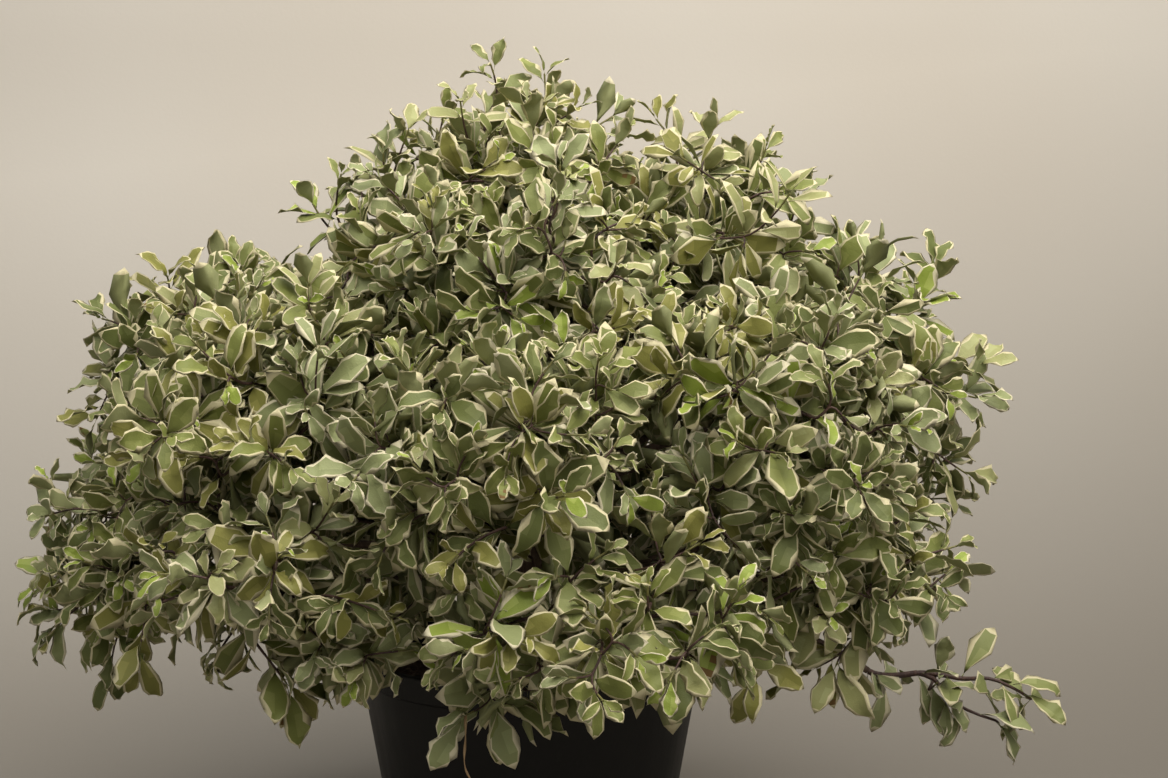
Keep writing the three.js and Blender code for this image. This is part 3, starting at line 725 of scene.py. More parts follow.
class LeafShape:
    """One leaf of unit length along +X, face to +Z, as a thin closed shape with its petiole."""

    def __init__(self, number, facts, is_inner, is_spotted):
        (self.width, self.belly, self.curl, self.twist, self.fold, self.wave, self.waves,
         self.tooth, self.margin, self.aside) = facts
        self.draw = Draw(SEEDS["leaf_shape"] + number)
        self.rows = INNER_ROWS if is_inner else TOOTHED_ROWS if self.tooth else PLAIN_ROWS
        self.plain_back, self.spotted = is_inner, is_spotted
        self.phases = self.draw() * math.tau, self.draw() * math.tau
        self.broad_side, self.broad_at = int(self.draw() * 2), lerp(*CREAM["broad_at"], self.draw())
        self.patch_side, self.patch_from = int(self.draw() * 2), int(self.draw() * len(self.rows) / 2)
        self.built = ShapeBuilder()

    def half_width(self, share):
        bulge = math.sin(math.pi * share ** (math.log(0.5) / math.log(self.belly)))
        return self.width / 2 * bulge ** LEAF["base_power" if share < self.belly else "tip_power"]

    def spine(self, share):
        """The midrib: it leaves the petiole straight and curls down more towards the tip."""
        steps = LEAF["spine_steps"]
        place = Vector((LEAF["petiole"], 0, 0))
        for k in range(steps):
            angle = self.curl * (share * (k + 0.5) / steps) ** LEAF["curl_power"]
            place += Vector((math.cos(angle), 0, -math.sin(angle))) * share * (1 - LEAF["petiole"]) / steps
        place.y = self.aside * share * share
        return place

    def at(self, share, across, lift=0.0):
        """A place on the blade: across is -1 to 1 from edge to edge."""
        angle, turn = self.curl * share ** LEAF["curl_power"], self.twist * share * share
        up = Vector((math.sin(angle), 0, math.cos(angle)))
        level = Vector((0, 1, 0))
        side = level * math.cos(turn) + up * math.sin(turn)
        up = up * math.cos(turn) - level * math.sin(turn)
        phase = self.phases[1 if across > 0 else 0]
        ripple = self.wave * math.sin(math.tau * self.waves * share + phase) * abs(across)
        half = self.half_width(share)
        rise = self.fold * abs(across) * half + ripple + lift
        return self.spine(share) + side * across * half + up * rise

    def border(self, share, side):
        """Where the cream margin ends, jagged and in one place much broader on one side."""
        border = self.margin * lerp(CREAM["base"], CREAM["tip"], share)
        border *= 1 + self.draw.spread(CREAM["jitter"])
        if side == self.broad_side and abs(share - self.broad_at) < CREAM["broad_reach"]:
            border *= CREAM["broad"]
        return 1 - min(CREAM["most"], border)

    def row(self, number, share):
        """Five places across the top, from edge to edge, and the places under them."""
        edges = []
        for side in (-1, 1):
            notch = self.tooth * TEETH["out" if number % 2 else "in"] if share > TEETH["from"] else 0
            depth = lerp(TEETH["least"], TEETH["most"], self.draw())
            edges.append(side * (1 + notch * depth + self.draw.spread(TEETH["jitter"])))
        inner = -self.border(share, 0), self.border(share, 1)
        across = (edges[0], inner[0], 0, inner[1], edges[1])
        lifts = (0, LEAF["belly_lift"], 0, LEAF["belly_lift"], 0)
        top = [self.built.add(self.at(share, x, lift)) for x, lift in zip(across, lifts)]
        below = slice(2, 3) if self.plain_back else slice(1, 4)
        under = [
            self.built.add(self.at(share, x, lift - LEAF["thick"]))
            for x, lift in zip(across[below], lifts[below])
        ]
        return top, [top[0], *under, top[4]]

    def build(self):
        built = self.built
        base = built.add(Vector((LEAF["base"], 0, 0)))
        rows = [self.row(number, share) for number, share in enumerate(self.rows)]
        tip = built.add(self.at(1, 0))
        back_zones = (UNDERSIDE, UNDERSIDE) if self.plain_back else (MARGIN, UNDERSIDE, UNDERSIDE, MARGIN)
        for number, ((low, low_under), (high, high_under)) in enumerate(zip(rows, rows[1:])):
            zones = (MARGIN, self.middle_zone(number, 0), self.middle_zone(number, 1), MARGIN)
            for k, zone in enumerate(zones):
                built.face((low[k], high[k], high[k + 1], low[k + 1]), zone)
            for k, zone in enumerate(back_zones):
                built.face((low_under[k], low_under[k + 1], high_under[k + 1], high_under[k]), zone)
        (first, first_under), (last, last_under) = rows[0], rows[-1]
        for k in range(4):
            built.face((base, first[k], first[k + 1]), MARGIN if k in (0, 3) else BLADE)
            built.face((tip, last[k + 1], last[k]), MARGIN)
        for k, zone in enumerate(back_zones):
            built.face((base, first_under[k + 1], first_under[k]), zone)
            built.face((tip, last_under[k], last_under[k + 1]), MARGIN)
        self.stalk()
        return built

    def middle_zone(self, number, side):
        """Paler patches run over a third of the rows beside the midrib, and spots lie in the outer half."""
        if self.spotted and number > SPOTS["past_row"] and self.draw() < SPOTS["share"]:
            return SPOT
        patch_end = self.patch_from + len(self.rows) / 3
        is_patch = side == self.patch_side and self.patch_from <= number < patch_end
        return PATCH if is_patch else BLADE

    def stalk(self):
        """The petiole, three-sided, which ends in a point under the blade."""
        radius = LEAF["petiole_radius"]
        ring = [self.built.add(Vector((0, y * radius, z * radius))) for y, z in LEAF["petiole_corners"]]
        point = self.built.add(Vector((LEAF["petiole_end"], 0, -radius * LEAF["petiole_drop"])))
        for k in range(3):
            self.built.face((ring[k], point, ring[(k + 1) % 3]), PATCH)
        self.built.face(tuple(ring), PATCH)


class Spray:
    """The leaves of one shoot, which share one tint and one size."""

    def __init__(self, twig, tint, size):
        self.twig, self.tint, self.size = twig, tint, size


def back_along(twig, back):
    """The place and heading this far back from a shoot's tip, through the twigs that it grew from."""
    while back > twig.curve.measure and twig.parent:
        back -= twig.curve.measure
        twig = twig.parent
    share = max(0.0, 1 - back / twig.curve.measure)
    return twig.curve.at(share), twig.curve.heading(share)


def leaf_places(crown, spray, draw):
    """Leaves stand at the golden angle round a shoot: small and close at its tip, wide and large below."""
    leaves = []
    turn = draw() * math.tau
    kind = SHOOT_KINDS[spray.twig.kind]
    length = settings().leaf_length / MM * spray.size * kind["size"]
    for k in range(kind["leaves"]):
        rise = k / (kind["leaves"] - 1)
        place, axis = back_along(spray.twig, kind["leafy"] * rise ** HABIT["crowding"])
        spread = lerp(HABIT["high_spread"], HABIT["low_spread"], rise ** HABIT["spread_power"])
        spread += draw.spread(HABIT["spread_jitter"])
        angle = turn + draw.spread(HABIT["turn_jitter"])
        side = axis.cross(UP if abs(axis.z) < ALONG_AXIS else RIGHT).normalized()
        spoke = Matrix.Rotation(angle, 3, axis) @ side
        high = (place.z - HABIT["hang_height"]) / (HABIT["lift_height"] - HABIT["hang_height"])
        lift = lerp(HABIT["hang"], HABIT["lift"], max(0, min(1, high))) + kind["lift"]
        along = axis * math.cos(spread) + spoke * math.sin(spread) + UP * lift
        along.normalize()
        face = axis + LIGHT * kind["turned"]
        face = (face - along * face.dot(along)).normalized()
        face = Matrix.Rotation(draw.spread(HABIT["roll_jitter"] * kind["roll"]), 3, along) @ face
        size = length * lerp(kind["tip_size"], 1, min(1, k / HABIT["full_at"]) ** HABIT["size_power"])
        size *= 1 + draw.spread(HABIT["size_jitter"])
        shape = pick_shape(spray.twig.kind == "deep" or rise > INNER_FROM, draw)
        turn += GOLDEN_ANGLE
        ends = (place + along * size * HABIT["middle"], place + along * size)
        if all(is_clear_of_pot(end) and crown.limb_gap(end) > HABIT["limb_gap"] for end in ends):
            turned = Matrix((along, face.cross(along), face)).transposed()
            leaves.append((place * MM, turned.to_euler(), size * MM, shape))
    return leaves


def pick_shape(is_inner, draw):
    """The number of an inner shape, of an outer one, or now and then of the spotted one."""
    if is_inner:
        return len(LEAF_SHAPES) + int(draw() * len(INNER_SHAPES))
    if draw() < SPOTTED_SHARE:
        return len(LEAF_SHAPES) - 1
    return int(draw() * (len(LEAF_SHAPES) - 1))


def leaf_shapes():
    """A collection of the leaf shapes, outer ones first, named in the order that points pick them by."""
    collection = bpy.data.collections.new("leaf_shapes")
    for number, facts in enumerate(LEAF_SHAPES + INNER_SHAPES):
        is_inner, is_spotted = number >= len(LEAF_SHAPES), number == len(LEAF_SHAPES) - 1
        shape = LeafShape(number, facts, is_inner, is_spotted)
        mesh = shape.build().mesh(f"leaf_{number:02d}")
        collection.objects.link(bpy.data.objects.new(mesh.name, mesh))
    return collection


# Tints are dealt out by spray, each to its share of them. The colour settings are named after them.
TINT_SHARES = {
    "silver": 0.18,
    "sage": 0.19,
    "moss": 0.17,
    "olive": 0.14,
    "deep": 0.17,
    "pale": 0.13,
    "young": 0.02,
}


def deal_tint(draw):
    """A tint by the shares, which add up to 1. A draw that rounding leaves past them all is sage."""
    pick = draw()
    for tint, share in TINT_SHARES.items():
        pick -= share
        if pick < 0:
            return tint
    return "sage"


# Meshes and Geometry Nodes


def link(piece):
    """Puts an object in the scene and hands it back."""
    bpy.context.collection.objects.link(piece)
    return piece


def new_piece(name, mesh):
    return link(bpy.data.objects.new(name, mesh))


def new_tree(name, inputs):
    """An empty Geometry Nodes tree with named inputs, and its two end nodes."""
    tree = bpy.data.node_groups.new(name, "GeometryNodeTree")
    tree.interface.new_socket("Geometry", in_out="OUTPUT", socket_type="NodeSocketGeometry")
    tree.interface.new_socket("Geometry", in_out="INPUT", socket_type="NodeSocketGeometry")
    for label, kind in inputs.items():
        tree.interface.new_socket(label, in_out="INPUT", socket_type="NodeSocket" + kind)
    return tree, tree.nodes.new("NodeGroupInput"), tree.nodes.new("NodeGroupOutput")


def read_attribute(tree, name, kind):
    node = tree.nodes.new("GeometryNodeInputNamedAttribute")
    node.data_type = kind
    node.inputs["Name"].default_value = name
    return node.outputs["Attribute"]


def run_tree(piece, tree, values):
    """Links a new piece and gives it the tree's result as its plain mesh."""
    modifier = piece.modifiers.new(tree.name, "NODES")
    modifier.node_group = tree
    sockets = {item.name: item.identifier for item in tree.interface.items_tree if item.in_out == "INPUT"}
    for label, value in values.items():
        modifier[sockets[label]] = value
    link(piece)
    graph = bpy.context.evaluated_depsgraph_get()
    result = bpy.data.meshes.new_from_object(piece.evaluated_get(graph), depsgraph=graph)
    piece.modifiers.clear()
    piece.data = result
    result.name = piece.name
    return piece


def join(tree, joins):
    for source, target in joins:
        tree.links.new(source, target)


def each_of(tree, collection):
    """The objects of a collection, each as an instance of its own."""
    node = tree.nodes.new("GeometryNodeCollectionInfo")
    node.inputs["Separate Children"].default_value = True
    node.inputs["Reset Children"].default_value = True
    tree.links.new(collection, node.inputs["Collection"])
    return node.outputs["Instances"]


def set_material(tree, geometry, material, selection=None):
    node = tree.nodes.new("GeometryNodeSetMaterial")
    tree.links.new(geometry, node.inputs["Geometry"])
    tree.links.new(material, node.inputs["Material"])
    if selection:
        tree.links.new(selection, node.inputs["Selection"])
    return node.outputs["Geometry"]


def equals(tree, value, number):
    node = tree.nodes.new("FunctionNodeCompare")
    node.data_type = "INT"
    node.operation = "EQUAL"
    tree.links.new(value, node.inputs[2])
    node.inputs[3].default_value = number
    return node.outputs["Result"]


def leaf_tree():
    """Stands a leaf on each point by its turn, size and shape, with a material for each zone."""
    inputs = {"Leaf shapes": "Collection", "Size spread": "Float", "Seed": "Int"}
    inputs |= {zone.capitalize(): "Material" for zone in ZONES}
    tree, given, made = new_tree("leaves_on_shoots", inputs)
    spread = tree.nodes.new("FunctionNodeRandomValue")
    spread.data_type = "FLOAT"
    least = tree.nodes.new("ShaderNodeMath")
    least.operation = "SUBTRACT"
    least.inputs[0].default_value = 1
    most = tree.nodes.new("ShaderNodeMath")
    most.inputs[0].default_value = 1
    size = tree.nodes.new("ShaderNodeMath")
    size.operation = "MULTIPLY"
    turn = tree.nodes.new("FunctionNodeEulerToRotation")
    stand = tree.nodes.new("GeometryNodeInstanceOnPoints")
    stand.inputs["Pick Instance"].default_value = True
    whole = tree.nodes.new("GeometryNodeRealizeInstances")
    smooth = tree.nodes.new("GeometryNodeSetShadeSmooth")
    joins = [
        (given.outputs["Size spread"], least.inputs[1]),
        (given.outputs["Size spread"], most.inputs[1]),
        (least.outputs[0], spread.inputs[2]),
        (most.outputs[0], spread.inputs[3]),
        (given.outputs["Seed"], spread.inputs["Seed"]),
        (spread.outputs[1], size.inputs[0]),
        (read_attribute(tree, "size", "FLOAT"), size.inputs[1]),
        (read_attribute(tree, "turn", "FLOAT_VECTOR"), turn.inputs["Euler"]),
        (given.outputs["Geometry"], stand.inputs["Points"]),
        (each_of(tree, given.outputs["Leaf shapes"]), stand.inputs["Instance"]),
        (read_attribute(tree, "shape", "INT"), stand.inputs["Instance Index"]),
        (turn.outputs["Rotation"], stand.inputs["Rotation"]),
        (size.outputs[0], stand.inputs["Scale"]),
        (stand.outputs["Instances"], whole.inputs["Geometry"]),
        (whole.outputs["Geometry"], smooth.inputs["Geometry"]),
    ]
    join(tree, joins)
    geometry = smooth.outputs["Geometry"]
    zone_number = read_attribute(tree, "zone", "INT")
    for number, zone in enumerate(ZONES):
        in_zone = equals(tree, zone_number, number)
        geometry = set_material(tree, geometry, given.outputs[zone.capitalize()], in_zone)
    tree.links.new(geometry, made.inputs["Geometry"])
    return tree


def twig_tree():
    """Gives each edge path a round body as thick as its points say, with green bark where they say so."""
    inputs = {"Sides": "Int", "Bark": "Material", "Green bark": "Material"}
    tree, given, made = new_tree("twigs_from_paths", inputs)
    curve = tree.nodes.new("GeometryNodeMeshToCurve")
    ring = tree.nodes.new("GeometryNodeCurvePrimitiveCircle")
    ring.inputs["Radius"].default_value = 1
    body = tree.nodes.new("GeometryNodeCurveToMesh")
    body.inputs["Fill Caps"].default_value = True
    whole = tree.nodes.new("GeometryNodeRealizeInstances")
    smooth = tree.nodes.new("GeometryNodeSetShadeSmooth")
    young = tree.nodes.new("FunctionNodeCompare")
    young.inputs[1].default_value = 0.5
    joins = [
        (given.outputs["Geometry"], curve.inputs["Mesh"]),
        (given.outputs["Sides"], ring.inputs["Resolution"]),
        (curve.outputs["Curve"], body.inputs["Curve"]),
        (ring.outputs["Curve"], body.inputs["Profile Curve"]),
        (read_attribute(tree, "thick", "FLOAT"), body.inputs["Scale"]),
        (body.outputs["Mesh"], whole.inputs["Geometry"]),
        (whole.outputs["Geometry"], smooth.inputs["Geometry"]),
        (read_attribute(tree, "green", "FLOAT"), young.inputs[0]),
    ]
    join(tree, joins)
    geometry = set_material(tree, smooth.outputs["Geometry"], given.outputs["Bark"])
    geometry = set_material(tree, geometry, given.outputs["Green bark"], young.outputs["Result"])
    tree.links.new(geometry, made.inputs["Geometry"])
    return tree


def chip_tree():
    """Scatters soil chips over the faces that look up."""
    inputs = {"Chip shapes": "Collection", "Density": "Float", "Least gap": "Float", "Seed": "Int"}
    tree, given, made = new_tree("chips_on_soil", inputs)
    normal = tree.nodes.new("GeometryNodeInputNormal")
    split = tree.nodes.new("ShaderNodeSeparateXYZ")
    upward = tree.nodes.new("FunctionNodeCompare")
    upward.inputs[1].default_value = CHIP["least_level"]
    scatter = tree.nodes.new("GeometryNodeDistributePointsOnFaces")
    scatter.distribute_method = "POISSON"
    turn = tree.nodes.new("FunctionNodeRandomValue")
    turn.data_type = "FLOAT_VECTOR"
    turn.inputs[1].default_value = (CHIP["tilt"], CHIP["tilt"], math.tau)
    size = tree.nodes.new("FunctionNodeRandomValue")
    size.data_type = "FLOAT"
    size.inputs[2].default_value, size.inputs[3].default_value = CHIP["sizes"]
    stand = tree.nodes.new("GeometryNodeInstanceOnPoints")
    stand.inputs["Pick Instance"].default_value = True
    whole = tree.nodes.new("GeometryNodeRealizeInstances")
    joins = [
        (normal.outputs["Normal"], split.inputs["Vector"]),
        (split.outputs["Z"], upward.inputs[0]),
        (given.outputs["Geometry"], scatter.inputs["Mesh"]),
        (upward.outputs["Result"], scatter.inputs["Selection"]),
        (given.outputs["Least gap"], scatter.inputs["Distance Min"]),
        (given.outputs["Density"], scatter.inputs["Density Max"]),
        (given.outputs["Seed"], scatter.inputs["Seed"]),
        (given.outputs["Seed"], turn.inputs["Seed"]),
        (given.outputs["Seed"], size.inputs["Seed"]),
        (scatter.outputs["Points"], stand.inputs["Points"]),
        (each_of(tree, given.outputs["Chip shapes"]), stand.inputs["Instance"]),
        (turn.outputs[0], stand.inputs["Rotation"]),
        (size.outputs[1], stand.inputs["Scale"]),
        (stand.outputs["Instances"], whole.inputs["Geometry"]),
        (whole.outputs["Geometry"], made.inputs["Geometry"]),
    ]
    join(tree, joins)
    return tree


# Materials


def new_material(name, colour, roughness, **constants):
    """A material whose colour and roughness are plain values on its shader."""
    material = bpy.data.materials.new(name)
    material.use_nodes = True
    shader = material.node_tree.nodes["Principled BSDF"]
    shader.inputs["Base Color"].default_value = (*colour, 1)
    shader.inputs["Roughness"].default_value = roughness
    for label, value in constants.items():
        shader.inputs[label.replace("_", " ")].default_value = value
    return material


class Finish:
    """Adds nodes to one material, all read from the piece's own coordinates."""

    def __init__(self, material):
        self.material = material
        self.nodes, self.links = material.node_tree.nodes, material.node_tree.links
        self.shader = self.nodes["Principled BSDF"]
        self.coordinates = self.nodes.new("ShaderNodeTexCoord")

    def stretched(self, scale):
        mapping = self.nodes.new("ShaderNodeMapping")
        mapping.inputs["Scale"].default_value = scale
        self.links.new(self.coordinates.outputs["Object"], mapping.inputs["Vector"])
        return mapping.outputs["Vector"]

    def noise(self, scale, detail=3.0, stretch=(1, 1, 1), rough=0.5):
        node = self.nodes.new("ShaderNodeTexNoise")
        node.inputs["Scale"].default_value = scale
        node.inputs["Detail"].default_value = detail
        node.inputs["Roughness"].default_value = rough
        self.links.new(self.stretched(stretch), node.inputs["Vector"])
        return node.outputs["Fac"]

    def cells(self, scale, stretch=(1, 1, 1)):
        node = self.nodes.new("ShaderNodeTexVoronoi")
        node.inputs["Scale"].default_value = scale
        self.links.new(self.stretched(stretch), node.inputs["Vector"])
        return node.outputs["Distance"]

    def along(self, way):
        """How far along a direction each place lies."""
        node = self.nodes.new("ShaderNodeVectorMath")
        node.operation = "DOT_PRODUCT"
        self.links.new(self.coordinates.outputs["Object"], node.inputs[0])
        node.inputs[1].default_value = way
        return node.outputs["Value"]

    def ranged(self, value, low, high, least=0.0, most=1.0):
        node = self.nodes.new("ShaderNodeMapRange")
        for label, number in (("From Min", low), ("From Max", high), ("To Min", least), ("To Max", most)):
            node.inputs[label].default_value = number
        self.links.new(value, node.inputs["Value"])
        return node.outputs["Result"]

    def product(self, first, second):
        node = self.nodes.new("ShaderNodeMath")
        node.operation = "MULTIPLY"
        self.links.new(first, node.inputs[0])
        self.links.new(second, node.inputs[1])
        return node.outputs[0]

    def mixed(self, share, first, second):
        """A colour between two, each a colour or a socket."""
        node = self.nodes.new("ShaderNodeMix")
        node.data_type = "RGBA"
        self.links.new(share, node.inputs["Factor"])
        for socket, colour in ((node.inputs[6], first), (node.inputs[7], second)):
            if isinstance(colour, bpy.types.NodeSocket):
                self.links.new(colour, socket)
            else:
                socket.default_value = (*colour, 1)
        return node.outputs[2]

    def colour(self, socket):
        self.links.new(socket, self.shader.inputs["Base Color"])

    def roughness(self, socket):
        self.links.new(socket, self.shader.inputs["Roughness"])

    def bump(self, heights, distance, strength=1.0):
        """Adds relief to what the shader already has."""
        node = self.nodes.new("ShaderNodeBump")
        node.inputs["Strength"].default_value = strength
        node.inputs["Distance"].default_value = distance
        self.links.new(heights, node.inputs["Height"])
        before = self.shader.inputs["Normal"].links
        if before:
            self.links.new(before[0].from_socket, node.inputs["Normal"])
        self.links.new(node.outputs["Normal"], self.shader.inputs["Normal"])


def leaf_material(name, colour, roughness):
    """Leathery and slightly glossy, with a fine grain and faint veins."""
    material = new_material(name, colour, roughness, Specular_IOR_Level=0.22)
    finish = Finish(material)
    finish.bump(finish.noise(900, 2), 0.0004, 0.5)
    finish.bump(finish.noise(160, 2), 0.0012, 0.35)
    return material


def bark_material(name, colour, pale, roughness):
    """Bark with pale streaks that run upwards."""
    material = new_material(name, colour, roughness)
    finish = Finish(material)
    streaks = finish.noise(260, 5, (1, 1, 0.22), 0.6)
    finish.colour(finish.mixed(finish.ranged(streaks, 0.4, 0.7), colour, pale))
    finish.roughness(finish.ranged(streaks, 0.3, 0.7, roughness - 0.1, min(1, roughness + 0.12)))
    finish.bump(streaks, 0.0012, 0.8)
    finish.bump(finish.noise(1400, 3), 0.0003, 0.6)
    return material


def pot_material():
    """Moulded black plastic with flow marks, scuffs, and dust round its foot."""
    look = colours()
    material = new_material("black_nursery_plastic", look.pot, 0.5, Specular_IOR_Level=0.3)
    finish = Finish(material)
    flow = finish.noise(26, 4, (1, 1, 0.06), 0.6)
    scratches = finish.ranged(finish.noise(90, 6, (1, 1, 0.5), 0.7), 0.56, 0.72)
    scuffs = finish.product(scratches, finish.ranged(finish.noise(9, 2), 0.42, 0.62))
    foot = finish.ranged(finish.along(UP), 0.06, 0.0)
    dust = finish.product(foot, finish.ranged(finish.noise(34, 5), 0.35, 0.7))
    body = finish.mixed(finish.ranged(flow, 0.4, 0.7, 0, 0.5), look.pot, look.pot_worn)
    body = finish.mixed(finish.product(scuffs, finish.ranged(flow, 0, 1, 0.5, 0.9)), body, look.pot_worn)
    dusty = finish.product(dust, finish.ranged(flow, 0, 1, 0.2, 0.7))
    finish.colour(finish.mixed(dusty, body, look.dust))
    finish.roughness(finish.ranged(flow, 0.35, 0.7, 0.42, 0.62))
    finish.bump(flow, 0.0009, 0.35)
    finish.bump(finish.noise(700, 3), 0.00025, 0.5)
    finish.bump(scuffs, 0.0002, 0.6)
    return material


def soil_material(name, colour, pale):
    """Dark, crumbly and dull, with dry crumbs."""
    material = new_material(name, colour, 0.95)
    finish = Finish(material)
    dry = finish.ranged(finish.noise(210, 6, (1, 1, 1), 0.7), 0.38, 0.68)
    finish.colour(finish.mixed(dry, colour, pale))
    finish.bump(finish.cells(320), 0.0022, 0.9)
    finish.bump(finish.noise(900, 4), 0.0008, 0.8)
    return material


def wall_material():
    """Plain plaster in two close tones, with painted shade low down: darker on the floor and at the wall's
    foot.
    """
    look = colours()
    material = new_material("pale_plaster", look.wall, 0.9)
    finish = Finish(material)
    wall = finish.mixed(finish.ranged(finish.noise(1.4, 2), 0.35, 0.7), look.wall, look.wall_warm)
    # Painted shade: the wall's colour turns to the darker floor colour towards the bottom, and a little
    # towards the right.
    finish.colour(finish.mixed(finish.ranged(finish.along((0.12, 0, -1)), -0.7, 0.1), wall, look.floor))
    finish.bump(finish.noise(180, 4), 0.0006, 0.25)
    return material


# Settings


def length_property(name, description, default):
    return FloatProperty(name=name, description=description, default=default, unit="LENGTH", min=0)


def power_property(name, description, default):
    return FloatProperty(name=name, description=description, default=default, unit="POWER", min=0)


def colour_property(name, description, default):
    """The default is written as screen values from 0 to 255 and kept as linear light."""
    linear = [screen_to_linear(value / 255) for value in default]
    return FloatVectorProperty(
        name=name, description=description, default=linear, subtype="COLOR", min=0, max=1
    )


def screen_to_linear(value):
    return value / 12.92 if value <= 0.04045 else ((value + 0.055) / 1.055) ** 2.4


class ShrubSettings(bpy.types.PropertyGroup):
    """Sizes of the shrub's own pieces."""

    shoot_gap: length_property("Shoot gap", "Least distance between two shoot tips", 0.031)
    leaf_length: length_property("Leaf length", "A full-grown leaf with its petiole", 0.039)
    size_spread: FloatProperty(name="Size spread", description="Leaf size varies by this share", default=0.08)
    twig_sides: IntProperty(name="Twig sides", description="Flat sides round a twig", default=5, min=3)
    bark_relief: length_property("Bark relief", "Depth of the furrows in the stem's bark", 0.0007)
    pot_sides: IntProperty(name="Pot sides", description="Flat sides round the pot", default=128, min=24)
    soil_lumps: length_property("Soil lumps", "Height of the soil's lumps", 0.0035)
    chip_gap: length_property("Chip gap", "Least distance between two soil chips", 0.007)


class ShrubColours(bpy.types.PropertyGroup):
    """Colours of the leaves, the bark, the pot, the soil and the stage."""

    silver_green: colour_property("Silver green", "Blade of the silver sprays", (138, 145, 100))
    silver_patch: colour_property("Silver patch", "Paler patches on it", (152, 159, 113))
    sage_green: colour_property("Sage green", "Blade of the sage sprays", (124, 131, 78))
    sage_patch: colour_property("Sage patch", "Paler patches on it", (139, 145, 92))
    moss_green: colour_property("Moss green", "Blade of the moss sprays", (119, 126, 67))
    moss_patch: colour_property("Moss patch", "Paler patches on it", (133, 139, 79))
    olive_green: colour_property("Olive green", "Blade of the olive sprays", (131, 130, 68))
    olive_patch: colour_property("Olive patch", "Paler patches on it", (146, 144, 80))
    deep_green: colour_property("Deep green", "Blade of the deep green sprays", (103, 111, 63))
    deep_patch: colour_property("Deep patch", "Paler patches on it", (118, 125, 77))
    pale_green: colour_property("Pale green", "Blade of the pale sprays", (152, 154, 103))
    pale_patch: colour_property("Pale patch", "Paler patches on it", (162, 165, 115))
    young_green: colour_property("Young green", "Blade of the youngest sprays", (140, 156, 68))
    young_patch: colour_property("Young patch", "Paler patches on it", (160, 173, 90))
    margin: colour_property("Cream margin", "Border of a full-grown leaf", (205, 197, 160))
    margin_pale: colour_property("Pale margin", "Border of a young or silver leaf", (211, 204, 174))
    underside: colour_property("Underside", "The paler back of a leaf", (148, 152, 108))
    spot: colour_property("Spot", "Brown spots on a few leaves", (126, 100, 62))
    strand: colour_property("Dry strand", "A dead, papery strand", (196, 172, 134))
    strand_dark: colour_property("Dark dry strand", "Its creases", (142, 112, 78))
    bark: colour_property("Bark", "Bark of the stem and boughs", (74, 58, 48))
    bark_pale: colour_property("Pale bark", "Its ridges", (112, 94, 78))
    twig: colour_property("Twig bark", "Dark purple-brown twigs", (62, 42, 40))
    twig_pale: colour_property("Pale twig bark", "Their streaks", (96, 72, 62))
    green_twig: colour_property("Green twig", "The newest shoots", (104, 102, 58))
    green_twig_pale: colour_property("Pale green twig", "Their streaks", (134, 128, 78))
    pot: colour_property("Pot", "Near-black plastic", (13, 13, 13))
    pot_worn: colour_property("Worn pot", "Its scuffs and flow marks", (32, 31, 30))
    dust: colour_property("Dust", "Dry soil on the pot", (72, 63, 52))
    soil: colour_property("Soil", "Potting soil", (46, 34, 25))
    soil_pale: colour_property("Pale soil", "Its dry crumbs", (88, 68, 50))
    wall: colour_property("Wall", "The plain backdrop and floor", (208, 203, 194))
    wall_warm: colour_property("Warm wall", "Its faint second tone", (202, 195, 184))
    # Painted shade: this darker floor colour stands for the shade low down, and the wall darkens to it at its
    # foot.
    floor: colour_property("Floor", "The floor and the wall's foot", (111, 106, 98))


class StageSettings(bpy.types.PropertyGroup):
    """The camera and the soft studio light."""

    aim: FloatVectorProperty(
        name="Aim", description="Where the camera looks", default=(0.043, 0, 0.431), subtype="TRANSLATION"
    )
    distance: length_property("Camera distance", "From the aim to the camera", 1.5)
    elevation: FloatProperty(
        name="Elevation",
        description="How far above level the camera stands",
        default=math.radians(5.5),
        subtype="ANGLE",
    )
    lens: FloatProperty(name="Lens", description="Focal length in millimetres", default=57.8)
    top_light: power_property("Top light", "Watts of the light overhead", 37)
    front_light: power_property("Front light", "Watts of the light before the shrub", 17)
    wall_light: power_property("Wall light", "Watts of the light on the backdrop", 13.4)
    sky: FloatProperty(name="Fill", description="Strength of the even light from all round", default=0.25)
    floor_size: length_property("Floor size", "Width and depth of the floor", 7.0)
    wall_distance: length_property("Wall distance", "From the pot's middle back to the wall", 1.1)
    wall_height: length_property("Wall height", "Height of the backdrop", 1.4)
    wall_width: length_property("Wall width", "Width of the backdrop", 1.76)
    wall_bend: length_property("Wall bend", "Radius of the bend from floor to wall", 0.8)


def settings():
    return bpy.context.scene.shrub_settings


def colours():
    return bpy.context.scene.shrub_colours


def finish_piece(piece, slot, *nodes):
    """Puts a finished piece on the part's one body, in place of the nodes that it stands for."""
    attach(piece, BODY)
    if nodes:
        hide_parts(*nodes)


# Stem and boughs


# Bark relief: its noise, its furrows' closeness around and along, and the swellings where limbs meet, in
# millimetres. The stem has flutes over its flare, and a bough has a collar at its fork and knots along it.
BARK = {
    "noise": (0.8, 2.1, 4),
    "ridge": 2.2,
    "level": 0.6,
    "stem_furrows": (0.16, 0.035),
    "stem_low": 1.5,
    "stem_high": 0.7,
    "stem_rings": 150,
    "stem_sides": 44,
    "flute": 1.7,
    "flute_reach": 1.6,
    "flutes": 5,
    "flute_turn": 3,
    "fork_swell": 1.6,
    "fork_out": 9,
    "fork_radius": 6,
    "bough_furrows": (0.3, 0.3),
    "bough_share": 0.45,
    "bough_ring": 3.5,
    "bough_sides": 14,
    "collar": 2.0,
    "collar_pace": 9,
    "knot": 0.5,
    "knot_pace": 34,
    "knot_power": 12,
}


